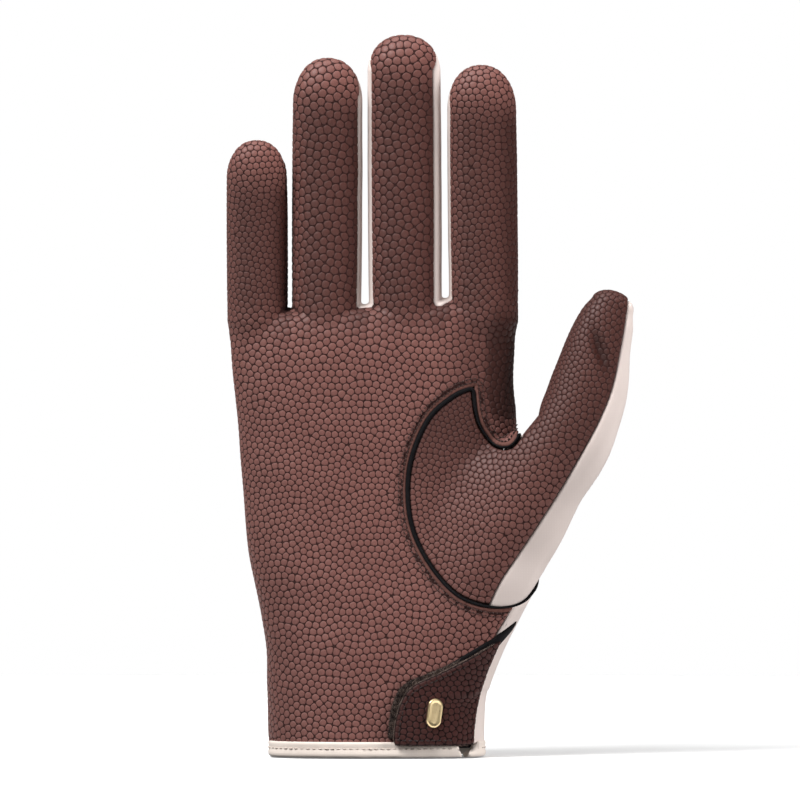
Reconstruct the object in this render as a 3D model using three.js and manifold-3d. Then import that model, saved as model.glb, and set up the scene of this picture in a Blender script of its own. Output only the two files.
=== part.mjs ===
// A riding glove for the right hand, in millimetres, standing on its wrist opening.
// The palm faces -Y, the thumb points to +X and the fingertips to +Z.
// The origin is the centre of the wrist opening, at the lower edge of the hem.
//
// The glove is worked out from one form: a palm, four fingers and a thumb, each lofted
// through a short table of sections. The same form, grown or shrunk by a few tenths of a
// millimetre, gives the walls of every piece, and seams drawn on it cut the panels apart.
import * as THREE from 'three'
import { mergeVertices } from 'three/addons/utils/BufferGeometryUtils.js'
import Module from 'manifold-3d'

// Overall sizes of the glove as worn
const palmLength = 138.5
const palmWidth = 90.5
const palmDepth = 27
const cuffLength = 33
const wristWidth = 65.7
const wristDepth = 34

// The fingers, measured from the crotches to the tips
const littleLength = 52
const ringLength = 78
const middleLength = 84.5
const indexLength = 75.3
const littleWidth = 18.8
const ringWidth = 22.6
const middleWidth = 22.9
const indexWidth = 21.5
const littleDepth = 15.5
const ringDepth = 17.5
const middleDepth = 18
const indexDepth = 17.5
const fingerCurl = 6

// The thumb, measured from its root beside the wrist
const thumbLength = 121
const thumbSpread = 48
const thumbWidth = 28.6
const thumbDepth = 22.5
const thumbForward = 10
const thumbRootHeight = 23.4

// Walls and the parts sewn on
const leatherWall = 1.2
const seamGap = 0.3
const pipingWidth = 1
const pipingRise = 0.5
const hemHeight = 4.6
const hemRise = 0.5
const pileWall = 0.9
const tabHeight = 40
const tabWall = 1.4
const tabSeamWidth = 2.6
const gussetWall = 1
const gussetOverlap = 4
const plateLength = 9
const plateWidth = 4.6
const plateWall = 0.8
const plateTilt = -9

// Numbers of flat sides in the round sections, and of steps in the round ends
const palmSides = 24
const fingerSides = 14
const thumbSides = 16
const domeSteps = 4
const plateSteps = 6

// How far cutting tools reach past the glove, and how far forms run below its foot
const farAway = 260
const belowFoot = 13

// Points nearer than this are one point
const weldReach = 1e-5

// How square the round sections are: 2 is an ellipse
const palmSquareness = 2.5
const fingerSquareness = 2.15

// Sections of the cuff: up is a share of cuffLength, left and right of wristWidth,
// front and back of wristDepth
const cuffRows = [
  { up: 0.00, left: -0.505, right: 0.500, front: 0.500, back: 0.500 },
  { up: 0.30, left: -0.511, right: 0.507, front: 0.490, back: 0.485 },
  { up: 0.65, left: -0.517, right: 0.523, front: 0.475, back: 0.460 },
]

// Sections of the palm: up is a share of the length above the cuff, left and right of
// palmWidth, front and back of palmDepth, and hollow how far the middle of the palm
// sinks, as a share of palmDepth
const palmRows = [
  { up: 0.00, left: -0.377, right: 0.428, front: 0.585, back: 0.540, hollow: 0.00 },
  { up: 0.10, left: -0.394, right: 0.494, front: 0.570, back: 0.510, hollow: 0.02 },
  { up: 0.19, left: -0.418, right: 0.535, front: 0.550, back: 0.500, hollow: 0.03 },
  { up: 0.29, left: -0.439, right: 0.530, front: 0.525, back: 0.500, hollow: 0.04 },
  { up: 0.43, left: -0.455, right: 0.495, front: 0.505, back: 0.500, hollow: 0.05 },
  { up: 0.57, left: -0.467, right: 0.486, front: 0.490, back: 0.495, hollow: 0.05 },
  { up: 0.67, left: -0.476, right: 0.478, front: 0.475, back: 0.480, hollow: 0.04 },
  { up: 0.80, left: -0.492, right: 0.466, front: 0.440, back: 0.445, hollow: 0.02 },
  { up: 0.89, left: -0.499, right: 0.470, front: 0.405, back: 0.410, hollow: 0.00 },
  { up: 0.95, left: -0.504, right: 0.472, front: 0.365, back: 0.370, hollow: 0.00 },
  { up: 0.985, left: -0.498, right: 0.466, front: 0.305, back: 0.310, hollow: 0.00 },
  { up: 1.00, left: -0.485, right: 0.455, front: 0.220, back: 0.220, hollow: 0.00 },
]
const crotchSlope = 0.06
const slopeStart = 0.88

// The fingers from the little one to the index. root and tip are the places of their middles, as shares of
// palmWidth. tipDome is a share of the finger's width. The seam columns are shares of
// its half depth, negative towards the palm: where the palm panel and the back panel
// end on its left and its right side. Over tipSeamTaper of the dome they run out to the
// middle, up to tipSeamEnd of it below the tip. On the hand's edge the seam lies
// sideSeamBack of the palm's half depth behind its middle.
const tipSeamEnd = 0.35
const tipSeamTaper = 0.6
const narrowestTip = 4
const seamRowStep = 9
const sideSeamBack = 0.2
const fingers = [
  {
    length: littleLength, width: littleWidth, depth: littleDepth,
    root: -0.409, tip: -0.411, tipDome: 0.62,
    palmLeft: 0.20, palmRight: -0.30, backLeft: 0.20, backRight: 0.50,
  },
  {
    length: ringLength, width: ringWidth, depth: ringDepth,
    root: -0.167, tip: -0.162, tipDome: 0.62,
    palmLeft: -0.20, palmRight: -0.49, backLeft: 0.50, backRight: 0.50,
  },
  {
    length: middleLength, width: middleWidth, depth: middleDepth,
    root: 0.097, tip: 0.092, tipDome: 0.50,
    palmLeft: -0.43, palmRight: -0.64, backLeft: 0.50, backRight: 0.50,
  },
  {
    length: indexLength, width: indexWidth, depth: indexDepth,
    root: 0.365, tip: 0.356, tipDome: 0.64,
    palmLeft: -0.38, palmRight: 0.20, backLeft: 0.50, backRight: 0.20,
  },
]

// Sections of every finger from its buried root to where the tip's dome starts: up is a
// share of that shaft, wide and deep of the finger's own width and depth
const fingerBury = 13
const fingerRows = [
  { up: 0.00, wide: 0.985, deep: 1.06 },
  { up: 0.33, wide: 1.000, deep: 1.00 },
  { up: 0.67, wide: 1.000, deep: 0.93 },
  { up: 1.00, wide: 0.985, deep: 0.86 },
]
const domeFullness = 0.9
const domeLag = 0.15
const buriedShare = 0.72

// Sections of the thumb across its bent middle line: along is a share of thumbSpread,
// up of thumbLength, wide of thumbWidth, deep of thumbDepth, forward of thumbForward.
// Towards the wrist they are less square, so that the ball of the thumb runs out flat.
const thumbRows = [
  { along: 0.000, up: 0.000, wide: 0.270, deep: 0.34, forward: 0.20, square: 1.8 },
  { along: 0.060, up: 0.151, wide: 0.420, deep: 0.43, forward: 0.45, square: 1.7 },
  { along: 0.130, up: 0.266, wide: 0.540, deep: 0.50, forward: 0.60, square: 1.6 },
  { along: 0.262, up: 0.389, wide: 0.600, deep: 0.52, forward: 0.75, square: 1.6 },
  { along: 0.450, up: 0.510, wide: 0.565, deep: 0.50, forward: 0.88, square: 1.8 },
  { along: 0.630, up: 0.590, wide: 0.480, deep: 0.46, forward: 1.00, square: 2.1 },
  { along: 0.743, up: 0.675, wide: 0.444, deep: 0.44, forward: 1.05, square: 2.2 },
  { along: 0.812, up: 0.764, wide: 0.413, deep: 0.41, forward: 1.00, square: 2.2 },
  { along: 0.870, up: 0.850, wide: 0.365, deep: 0.37, forward: 1.00, square: 2.2 },
  { along: 0.925, up: 0.918, wide: 0.310, deep: 0.31, forward: 1.02, square: 2.2 },
  { along: 0.972, up: 0.965, wide: 0.220, deep: 0.22, forward: 1.05, square: 2.2 },
  { along: 1.010, up: 0.994, wide: 0.080, deep: 0.09, forward: 1.08, square: 2.2 },
]
const thumbRootPlace = 0.298

// Where in depth the thumb's front outline gives way to its back outline, as a share of
// thumbForward
const thumbMiddlePlace = -0.3

// Sections narrower than this share of the width take less of a form's growth
const fullGrowth = { finger: 0.25, thumb: 0.3 }

// The keyhole seam on the palm, as shares of palmWidth and palmLength: up from the
// thumb crotch over the tongue to the peak, then round the ball of the thumb and out to
// the edge of the hand
const tongueLine = [
  { across: 0.484, up: 0.724 },
  { across: 0.452, up: 0.695 },
  { across: 0.405, up: 0.698 },
  { across: 0.360, up: 0.734 },
  { across: 0.341, up: 0.772 },
  { across: 0.338, up: 0.818 },
]
const keyholeLine = [
  { across: 0.338, up: 0.818 },
  { across: 0.265, up: 0.811 },
  { across: 0.170, up: 0.753 },
  { across: 0.108, up: 0.650 },
  { across: 0.108, up: 0.535 },
  { across: 0.165, up: 0.440 },
  { across: 0.270, up: 0.360 },
  { across: 0.400, up: 0.332 },
  { across: 0.505, up: 0.345 },
  { across: 0.572, up: 0.402 },
]

// The seam of the thumb's back piece on the back of the hand, from the edge of the hand
// to the thumb crotch, in the same shares
const thumbBackLine = [
  { across: 0.572, up: 0.402 },
  { across: 0.500, up: 0.450 },
  { across: 0.445, up: 0.540 },
  { across: 0.425, up: 0.630 },
  { across: 0.445, up: 0.695 },
  { across: 0.484, up: 0.724 },
]

// The seam along the thumb between its brown front and its cream back piece
const thumbSideLine = [
  { across: 0.360, up: 0.300 },
  { across: 0.412, up: 0.380 },
  { across: 0.484, up: 0.452 },
  { across: 0.556, up: 0.523 },
  { across: 0.625, up: 0.594 },
  { across: 0.687, up: 0.665 },
  { across: 0.748, up: 0.737 },
  { across: 0.796, up: 0.809 },
  { across: 0.824, up: 0.880 },
  { across: 0.852, up: 0.980 },
  { across: 0.868, up: 1.060 },
]
const thumbSeamBack = 0.35

// The edges of the wrist slit, as shares of wristWidth and tabHeight: the palm panel
// ends on the first line and the back panel on the second
const palmSlitLine = [
  { across: 0.700, up: 1.300 },
  { across: 0.550, up: 0.915 },
  { across: 0.400, up: 0.500 },
  { across: 0.362, up: 0.100 },
  { across: 0.356, up: -0.100 },
]
const backSlitLine = [
  { across: 0.728, up: 1.300 },
  { across: 0.588, up: 0.915 },
  { across: 0.432, up: 0.500 },
  { across: 0.402, up: 0.100 },
  { across: 0.396, up: -0.100 },
]

// The closure tab and the pile patch under it, in the same shares
const tabLeftLine = [
  { across: 0.080, up: 0.095 },
  { across: 0.083, up: 0.230 },
  { across: 0.100, up: 0.370 },
  { across: 0.135, up: 0.500 },
  { across: 0.185, up: 0.575 },
]
const tabTopLine = [
  { across: 0.185, up: 0.575 },
  { across: 0.320, up: 0.660 },
  { across: 0.430, up: 0.750 },
  { across: 0.560, up: 0.865 },
  { across: 0.680, up: 1.030 },
]
const tabFootPlace = { across: 0.640, up: 0.095 }
const tabEdgeFront = 0.27
const patchLeftLine = [
  { across: 0.050, up: 0.145 },
  { across: 0.055, up: 0.250 },
  { across: 0.070, up: 0.400 },
  { across: 0.105, up: 0.530 },
  { across: 0.160, up: 0.600 },
]
const patchTopLine = [
  { across: 0.160, up: 0.600 },
  { across: 0.300, up: 0.690 },
  { across: 0.410, up: 0.780 },
]
const patchRightLine = [
  { across: 0.410, up: 0.780 },
  { across: 0.365, up: 0.500 },
  { across: 0.325, up: 0.145 },
]
const platePlace = { across: 0.268, up: 0.345 }

// Where the hem binding is open at the slit, as shares of wristWidth
const hemOpening = { leftTop: 0.365, leftFoot: 0.392, right: 0.470 }

// Where the elastic behind the slit ends: its foot as a share of hemHeight, its head of
// tabHeight
const gussetEnds = { foot: 0.35, head: 1.15 }

const wasm = await Module()
wasm.setup()

function toSolid(geometry) {
  const bare = geometry.clone()
  bare.deleteAttribute('normal')
  bare.deleteAttribute('uv')
  const merged = mergeVertices(bare, weldReach)
  const vertProperties = new Float32Array(merged.attributes.position.array)
  const triVerts = new Uint32Array(merged.index.array)
  return new wasm.Manifold(new wasm.Mesh({ numProp: 3, vertProperties, triVerts }))
}

function toGeometry(solid) {
  const mesh = solid.getMesh()
  const geometry = new THREE.BufferGeometry()
  geometry.setAttribute('position', new THREE.BufferAttribute(mesh.vertProperties, 3))
  geometry.setIndex(new THREE.BufferAttribute(mesh.triVerts, 1))
  return geometry
}

// A closed solid through rings of points, each ring anticlockwise seen from the next one
function loft(rings) {
  const sides = rings[0].length
  const points = rings.flat()
  const faces = []
  for (let row = 0; row + 1 < rings.length; row++) {
    for (let side = 0; side < sides; side++) {
      const next = (side + 1) % sides
      const a = row * sides + side
      const b = row * sides + next
      faces.push(a, b, b + sides, a, b + sides, a + sides)
    }
  }
  const middle = (ring) => ring.reduce((sum, p) => sum.add(p), new THREE.Vector3())
    .divideScalar(ring.length)
  const foot = points.push(middle(rings[0])) - 1
  const head = points.push(middle(rings.at(-1))) - 1
  const last = (rings.length - 1) * sides
  for (let side = 0; side < sides; side++) {
    const next = (side + 1) % sides
    faces.push(foot, next, side)
    faces.push(head, last + side, last + next)
  }
  const geometry = new THREE.BufferGeometry().setFromPoints(points)
  geometry.setIndex(faces)
  return toSolid(geometry)
}

// A prism along Y over an outline drawn in X and Z
function prism(outline, front, back) {
  const shape = new THREE.Shape(outline)
  const geometry = new THREE.ExtrudeGeometry(shape, { depth: back - front, bevelEnabled: false })
  geometry.rotateX(Math.PI / 2)
  geometry.translate(0, back, 0)
  return toSolid(geometry)
}

const power = (value, exponent) => Math.sign(value) * Math.abs(value) ** exponent

function superellipse(angle, squareness) {
  return {
    x: power(Math.cos(angle), 2 / squareness),
    y: power(Math.sin(angle), 2 / squareness),
  }
}

function smoothLine(rows, width, height, steps = 2) {
  const points = rows.map((row) => new THREE.Vector2(row.across * width, row.up * height))
  return new THREE.SplineCurve(points).getPoints(steps * (rows.length - 1))
}

function distanceTo(line, point) {
  const nearest = new THREE.Vector3()
  const place = new THREE.Vector3(point.x, point.y, 0)
  let least = Infinity
  for (let i = 0; i + 1 < line.length; i++) {
    const a = new THREE.Vector3(line[i].x, line[i].y, 0)
    const b = new THREE.Vector3(line[i + 1].x, line[i + 1].y, 0)
    new THREE.Line3(a, b).closestPointToPoint(place, true, nearest)
    least = Math.min(least, nearest.distanceTo(place))
  }
  return least
}

// The line moved sideways, to the left of its own direction, with mitred corners and
// without the points that fall too near to it inside a bend
const keptDistance = 0.97

function besideLine(line, distance) {
  const leftOfStep = (i) => {
    const from = line[THREE.MathUtils.clamp(i, 0, line.length - 2)]
    const to = line[THREE.MathUtils.clamp(i, 0, line.length - 2) + 1]
    return new THREE.Vector2(from.y - to.y, to.x - from.x).normalize()
  }
  const moved = line.map((point, i) => {
    const before = leftOfStep(i - 1)
    const mitre = leftOfStep(i).add(before).normalize()
    return mitre.multiplyScalar(distance / mitre.dot(before)).add(point)
  })
  return moved.filter((point) => distanceTo(line, point) > keptDistance * Math.abs(distance) - weldReach)
}

// The palm and cuff, grown by some millimetres
function palmForm(grow) {
  const above = palmLength - cuffLength
  const rows = [
    ...cuffRows.map((row) => ({
      z: row.up * cuffLength, left: row.left * wristWidth, right: row.right * wristWidth,
      front: row.front * wristDepth, back: row.back * wristDepth, hollow: 0, lift: 0,
    })),
    ...palmRows.map((row) => ({
      z: cuffLength + row.up * above, left: row.left * palmWidth, right: row.right * palmWidth,
      front: row.front * palmDepth, back: row.back * palmDepth, hollow: row.hollow * palmDepth,
      lift: Math.max(0, (row.up - slopeStart) / (1 - slopeStart)) * crotchSlope,
    })),
  ]
  rows.unshift({ ...rows[0], z: -belowFoot })
  const last = rows.at(-1)
  const rings = rows.map((row) => {
    const middle = (row.left + row.right) / 2
    const half = (row.right - row.left) / 2 + grow
    const ring = []
    for (let side = 0; side < palmSides; side++) {
      const unit = superellipse((side / palmSides) * 2 * Math.PI, palmSquareness)
      const depth = (unit.y < 0 ? row.front : row.back) + grow
      const sink = unit.y < 0 ? row.hollow * (1 - unit.x ** 2) ** 2 : 0
      const x = middle + unit.x * half
      const z = row.z + row.lift * x + (row === last ? grow : 0)
      ring.push(new THREE.Vector3(x, unit.y * depth + sink, z))
    }
    return ring
  })
  return loft(rings)
}

// Sizes of a finger at a height: the middle, the half width and the half depth
function fingerAt(finger, z) {
  const dome = finger.tipDome * finger.width
  const shaft = finger.length - dome
  const up = THREE.MathUtils.clamp((z - palmLength) / shaft, 0, 1)
  const row = Math.min(fingerRows.findIndex((r) => r.up >= up) || 1, fingerRows.length - 1)
  const low = fingerRows[row - 1]
  const high = fingerRows[row]
  const share = (up - low.up) / (high.up - low.up)
  const mix = (column) => THREE.MathUtils.lerp(low[column], high[column], share)
  const intoDome = THREE.MathUtils.clamp((z - palmLength - shaft) / dome, 0, 1)
  const narrow = (1 - intoDome ** 2) ** (domeFullness / 2)
  const way = THREE.MathUtils.clamp((z - palmLength) / finger.length, 0, 1)
  return {
    x: THREE.MathUtils.lerp(finger.root, finger.tip, way) * palmWidth,
    y: -fingerCurl * way ** 2,
    half: (mix('wide') * finger.width * narrow) / 2,
    deep: (mix('deep') * finger.depth * narrow) / 2,
  }
}

function fingerForm(finger, grow) {
  const dome = finger.tipDome * finger.width
  const shaft = finger.length - dome
  const ringAt = (z, grownZ, shrink) => {
    const size = fingerAt(finger, z)
    const growHere = grow * Math.min(1, size.half / (fullGrowth.finger * finger.width))
    const ring = []
    for (let side = 0; side < fingerSides; side++) {
      const unit = superellipse((side / fingerSides) * 2 * Math.PI, fingerSquareness)
      const half = size.half * shrink + growHere
      const deep = size.deep * shrink + growHere
      ring.push(new THREE.Vector3(size.x + unit.x * half, size.y + unit.y * deep, grownZ))
    }
    return ring
  }
  const rings = [
    ringAt(palmLength, palmLength - fingerBury, buriedShare),
    ringAt(palmLength, palmLength - fingerBury / 3, 1),
  ]
  for (const row of fingerRows) {
    const z = palmLength + row.up * shaft
    rings.push(ringAt(z, z, 1))
  }
  for (let step = 1; step <= domeSteps; step++) {
    const rise = Math.sin(((step - domeLag) / domeSteps) * Math.PI / 2)
    const z = palmLength + shaft + dome * rise
    rings.push(ringAt(z, z + grow * rise, 1))
  }
  return loft(rings)
}

// Middle line and half sizes of the thumb
const thumbStations = thumbRows.map((row) => ({
  x: thumbRootPlace * palmWidth + row.along * thumbSpread,
  z: thumbRootHeight + row.up * thumbLength,
  y: -row.forward * thumbForward,
  half: row.wide * thumbWidth,
  deep: row.deep * thumbDepth,
  square: row.square,
}))

function thumbForm(grow) {
  const rings = thumbStations.map((station, i) => {
    const before = thumbStations[Math.max(i - 1, 0)]
    const after = thumbStations[Math.min(i + 1, thumbStations.length - 1)]
    const along = new THREE.Vector2(after.x - before.x, after.z - before.z).normalize()
    const growHere = grow * Math.min(1, station.half / (fullGrowth.thumb * thumbWidth))
    const end = i === thumbStations.length - 1 ? grow : 0
    const ring = []
    for (let side = 0; side < thumbSides; side++) {
      const unit = superellipse((side / thumbSides) * 2 * Math.PI, station.square)
      const across = unit.x * (station.half + growHere)
      ring.push(new THREE.Vector3(
        station.x + across * along.y + along.x * end,
        station.y + unit.y * (station.deep + growHere),
        station.z - across * along.x + along.y * end,
      ))
    }
    return ring
  })
  return loft(rings)
}

// The whole outer form of the glove, grown by some millimetres, kept once it is made
const grownForms = new Map()

function gloveForm(grow) {
  if (!grownForms.has(grow)) {
    let form = palmForm(grow).add(thumbForm(grow))
    for (const finger of fingers) {
      form = form.add(fingerForm(finger, grow))
    }
    grownForms.set(grow, form)
  }
  return grownForms.get(grow)
}

const outer = gloveForm(0)
const shell = outer.subtract(gloveForm(-leatherWall))

// Everything on the palm side of the seams along the fingers and the hand's edge. The
// face is 'palm' for the palm panel's edge or 'back' for the back panel's edge.
function palmSide(face, shift) {
  const heights = [-belowFoot, cuffLength, palmLength - 2 * fingerBury, palmLength - fingerBury]
  const top = palmLength + Math.max(...fingers.map((finger) => finger.length))
  for (let z = palmLength - seamRowStep; z < top + seamRowStep; z += seamRowStep) {
    heights.push(z)
  }
  const rings = heights.map((z) => {
    const ring = []
    const below = z < palmLength - fingerBury / 2
    const edgeY = (sideSeamBack * palmDepth) / 2
    for (const finger of fingers) {
      const size = fingerAt(finger, z)
      const dome = finger.tipDome * finger.width
      const end = palmLength + finger.length - tipSeamEnd * dome
      const taper = THREE.MathUtils.clamp((end - z) / (tipSeamTaper * dome), 0, 1)
      const half = Math.max(size.half, narrowestTip / 2)
      for (const side of ['Left', 'Right']) {
        const way = side === 'Left' ? -1 : 1
        const y = below ? edgeY : size.y + finger[face + side] * size.deep * taper
        ring.push(new THREE.Vector3(size.x + way * half, y + shift, z))
      }
    }
    const first = ring[0]
    const final = ring.at(-1)
    ring.unshift(new THREE.Vector3(-farAway, first.y, z))
    ring.push(new THREE.Vector3(farAway, final.y, z))
    ring.push(new THREE.Vector3(farAway, -farAway, z))
    ring.push(new THREE.Vector3(-farAway, -farAway, z))
    return ring.reverse()
  })
  return loft(rings)
}

// The region of the thumb: inside the keyhole line on the palm side and inside the back
// line behind, each moved inwards by some millimetres
const thumbMiddle = thumbMiddlePlace * thumbForward
const keyhole = [...smoothLine(tongueLine, palmWidth, palmLength).slice(0, -1),
  ...smoothLine(keyholeLine, palmWidth, palmLength)]
const thumbBackSeam = smoothLine(thumbBackLine, palmWidth, palmLength)

function aroundThumb(edge) {
  const crotch = edge[0]
  const wristEnd = edge.at(-1)
  const indexSide = fingers[3].root * palmWidth + indexWidth / 2
  const thumbSide = thumbStations.at(-1).x - thumbWidth / 2
  const between = (indexSide + thumbSide) / 2
  return [
    ...edge,
    new THREE.Vector2(farAway, wristEnd.y - 1),
    new THREE.Vector2(farAway, farAway),
    new THREE.Vector2(between, farAway),
    new THREE.Vector2(between, palmLength),
    new THREE.Vector2(crotch.x, crotch.y + thumbWidth / 2),
  ]
}

function thumbRegion(frontInset, backInset) {
  const front = aroundThumb(besideLine(keyhole, frontInset))
  const back = aroundThumb(besideLine([...thumbBackSeam].reverse(), backInset))
  return prism(front, -farAway, thumbMiddle).add(prism(back, thumbMiddle, farAway))
}

const palmSlit = smoothLine(palmSlitLine, wristWidth, tabHeight)
const backSlit = smoothLine(backSlitLine, wristWidth, tabHeight)

// Everything to the left of a slit line, which runs on inside the thumb's region to the
// thumb crotch
function leftOf(line) {
  const crotch = keyhole[0]
  return prism([
    ...line,
    new THREE.Vector2(-farAway, line.at(-1).y - 1),
    new THREE.Vector2(-farAway, farAway),
    new THREE.Vector2(farAway, farAway),
    new THREE.Vector2(farAway, crotch.y),
    crotch,
    new THREE.Vector2(crotch.x - thumbWidth / 4, (crotch.y + line[0].y) / 2),
  ], -farAway, farAway)
}

function betweenHeights(low, high) {
  return prism([
    new THREE.Vector2(-farAway, low),
    new THREE.Vector2(farAway, low),
    new THREE.Vector2(farAway, high),
    new THREE.Vector2(-farAway, high),
  ], -farAway, farAway)
}

// The largest piece of a cut solid, without crumbs
function mainPiece(solid) {
  return solid.decompose().reduce((best, part) => (part.volume() > best.volume() ? part : best))
}

const aboveHem = betweenHeights(hemHeight + seamGap, farAway)
const handShell = shell.intersect(aboveHem).subtract(thumbRegion(0, 0))
const palmEdgeSide = palmSide('palm', -seamGap / 2).intersect(leftOf(palmSlit))
const backEdgeSide = palmSide('back', seamGap / 2).intersect(leftOf(backSlit))
const palm = mainPiece(handShell.intersect(palmEdgeSide))
const back = mainPiece(handShell.subtract(backEdgeSide))

// The strip between two neighbouring fingers
const stripRest = shell.subtract(palmSide('palm', seamGap / 2))
  .intersect(palmSide('back', -seamGap / 2))

function fourchette(left, right) {
  const low = palmLength - fingerBury / 2
  const middleLeft = left.root * palmWidth
  const middleRight = right.root * palmWidth
  const between = prism([
    new THREE.Vector2(middleLeft + seamGap, low),
    new THREE.Vector2(middleRight - seamGap, low),
    new THREE.Vector2(middleRight - seamGap, farAway),
    new THREE.Vector2(middleLeft + seamGap, farAway),
  ], -farAway, farAway)
  return mainPiece(stripRest.intersect(between))
}

// The thumb's two pieces: brown in front of its side seam, cream behind and outside it
const thumbShell = shell.intersect(thumbRegion(pipingWidth + 2 * seamGap, seamGap))
const thumbSide = smoothLine(thumbSideLine, palmWidth, palmLength)

function thumbFrontSide(shift) {
  const upright = besideLine(thumbSide, shift)
  const outside = prism([
    ...upright,
    new THREE.Vector2(-farAway, upright.at(-1).y + farAway / 10),
    new THREE.Vector2(-farAway, -farAway),
    new THREE.Vector2(upright[0].x, -farAway),
  ], -farAway, farAway)
  const rings = thumbStations.map((station) => {
    const y = station.y + thumbSeamBack * station.deep - shift
    return [
      new THREE.Vector3(-farAway, -farAway, station.z),
      new THREE.Vector3(farAway, -farAway, station.z),
      new THREE.Vector3(farAway, y, station.z),
      new THREE.Vector3(-farAway, y, station.z),
    ]
  })
  const lifted = rings.at(-1).map((p) => p.clone().setZ(p.z + farAway / 10))
  const lowered = rings[0].map((p) => p.clone().setZ(-belowFoot))
  return outside.intersect(loft([lowered, ...rings, lifted]))
}

const thumbFront = mainPiece(thumbShell.intersect(thumbFrontSide(seamGap / 2)))
const thumbBack = mainPiece(thumbShell.subtract(thumbFrontSide(-seamGap / 2)))

// A band of the grown form over an outline on the palm side
function onPalm(outline, low, high) {
  const layer = gloveForm(high).subtract(gloveForm(low))
  return layer.intersect(prism(outline, -farAway, 0))
}

const pipingOutline = [
  ...besideLine(keyhole, seamGap),
  ...besideLine(keyhole, seamGap + pipingWidth).reverse(),
]
const thumbPiping = mainPiece(gloveForm(pipingRise).subtract(gloveForm(-leatherWall))
  .intersect(prism(pipingOutline, -farAway, thumbMiddle)))

// The hem binding, a ring open at the slit
const hemGap = prism([
  new THREE.Vector2(hemOpening.leftFoot * wristWidth, -1),
  new THREE.Vector2(hemOpening.right * wristWidth, -1),
  new THREE.Vector2(hemOpening.right * wristWidth, hemHeight + 1),
  new THREE.Vector2(hemOpening.leftTop * wristWidth, hemHeight + 1),
], -farAway, 0)
const hemBinding = mainPiece(gloveForm(hemRise).subtract(gloveForm(-leatherWall))
  .intersect(betweenHeights(0, hemHeight)).subtract(hemGap))

// The pile patch lies on the palm and the tab closes over it
const patchTop = seamGap + pileWall
const tabFoot = patchTop + seamGap
const tabTop = tabFoot + tabWall
const wristLine = (rows) => smoothLine(rows, wristWidth, tabHeight)
const patchOutline = [
  ...wristLine(patchLeftLine).slice(0, -1),
  ...wristLine(patchTopLine).slice(0, -1),
  ...wristLine(patchRightLine),
]
const tabOutline = [
  ...wristLine(tabLeftLine).slice(0, -1),
  ...wristLine(tabTopLine),
  new THREE.Vector2(tabFootPlace.across * wristWidth, tabFootPlace.up * tabHeight),
]
const loopPatch = mainPiece(onPalm(patchOutline, seamGap, patchTop))

// The tab's sewn edge runs down the side of the wrist, where its underside is folded in
const tabEdge = -tabEdgeFront * wristDepth
const tabLeaf = prism(tabOutline, -farAway, tabEdge)
const tabSeam = prism(tabOutline, tabEdge - tabSeamWidth, tabEdge)
const closureTab = mainPiece(gloveForm(tabTop).subtract(gloveForm(tabFoot)).intersect(tabLeaf)
  .add(gloveForm(tabTop).subtract(gloveForm(seamGap)).intersect(tabSeam)))

// A bar with round ends on the tab
function plateOutline() {
  const centre = new THREE.Vector2(platePlace.across * wristWidth, platePlace.up * tabHeight)
  const reach = (plateLength - plateWidth) / 2
  const tilt = THREE.MathUtils.degToRad(plateTilt)
  const points = []
  for (const end of [1, -1]) {
    for (let step = 0; step <= plateSteps; step++) {
      const angle = (step / plateSteps) * Math.PI + (end === 1 ? 0 : Math.PI)
      points.push(new THREE.Vector2(Math.cos(angle) * plateWidth / 2,
        Math.sin(angle) * plateWidth / 2 + end * reach))
    }
  }
  return points.map((p) => p.rotateAround(new THREE.Vector2(), tilt).add(centre))
}
const tabPlate = mainPiece(onPalm(plateOutline(), tabTop + seamGap, tabTop + seamGap + plateWall))

// Black elastic behind the slit
const gussetOutline = [
  ...besideLine(palmSlit, gussetOverlap),
  ...besideLine(backSlit, -gussetOverlap).reverse(),
]
const gussetTop = -leatherWall - seamGap
const ventGusset = mainPiece(gloveForm(gussetTop).subtract(gloveForm(gussetTop - gussetWall))
  .intersect(prism(gussetOutline, -farAway, 0))
  .intersect(betweenHeights(gussetEnds.foot * hemHeight, gussetEnds.head * tabHeight)))

const leatherBrown = { color: 0x6e504c, roughness: 0.55, metalness: 0 }
const tabBrown = { color: 0x412a27, roughness: 0.5, metalness: 0 }
const cream = { color: 0xd6c9c1, roughness: 0.8, metalness: 0 }
const hemCream = { color: 0xf0e6df, roughness: 0.8, metalness: 0 }
const black = { color: 0x17120f, roughness: 0.7, metalness: 0 }
const pileGrey = { color: 0x2b2728, roughness: 0.95, metalness: 0 }
const gold = { color: 0xc9a25a, roughness: 0.25, metalness: 1 }

const glove = new THREE.Group()

function addPiece(name, solid, finish) {
  const mesh = new THREE.Mesh(toGeometry(solid), new THREE.MeshStandardMaterial(finish))
  mesh.name = name
  glove.add(mesh)
}

addPiece('palm', palm, leatherBrown)
addPiece('back', back, cream)
addPiece('fourchette_little_ring', fourchette(fingers[0], fingers[1]), leatherBrown)
addPiece('fourchette_ring_middle', fourchette(fingers[1], fingers[2]), cream)
addPiece('fourchette_middle_index', fourchette(fingers[2], fingers[3]), cream)
addPiece('thumb_front', thumbFront, leatherBrown)
addPiece('thumb_back', thumbBack, cream)
addPiece('thumb_piping', thumbPiping, black)
addPiece('vent_gusset', ventGusset, black)
addPiece('loop_patch', loopPatch, pileGrey)
addPiece('closure_tab', closureTab, tabBrown)
addPiece('tab_plate', tabPlate, gold)
addPiece('hem_binding', hemBinding, hemCream)

export default glove
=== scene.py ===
import math

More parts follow.
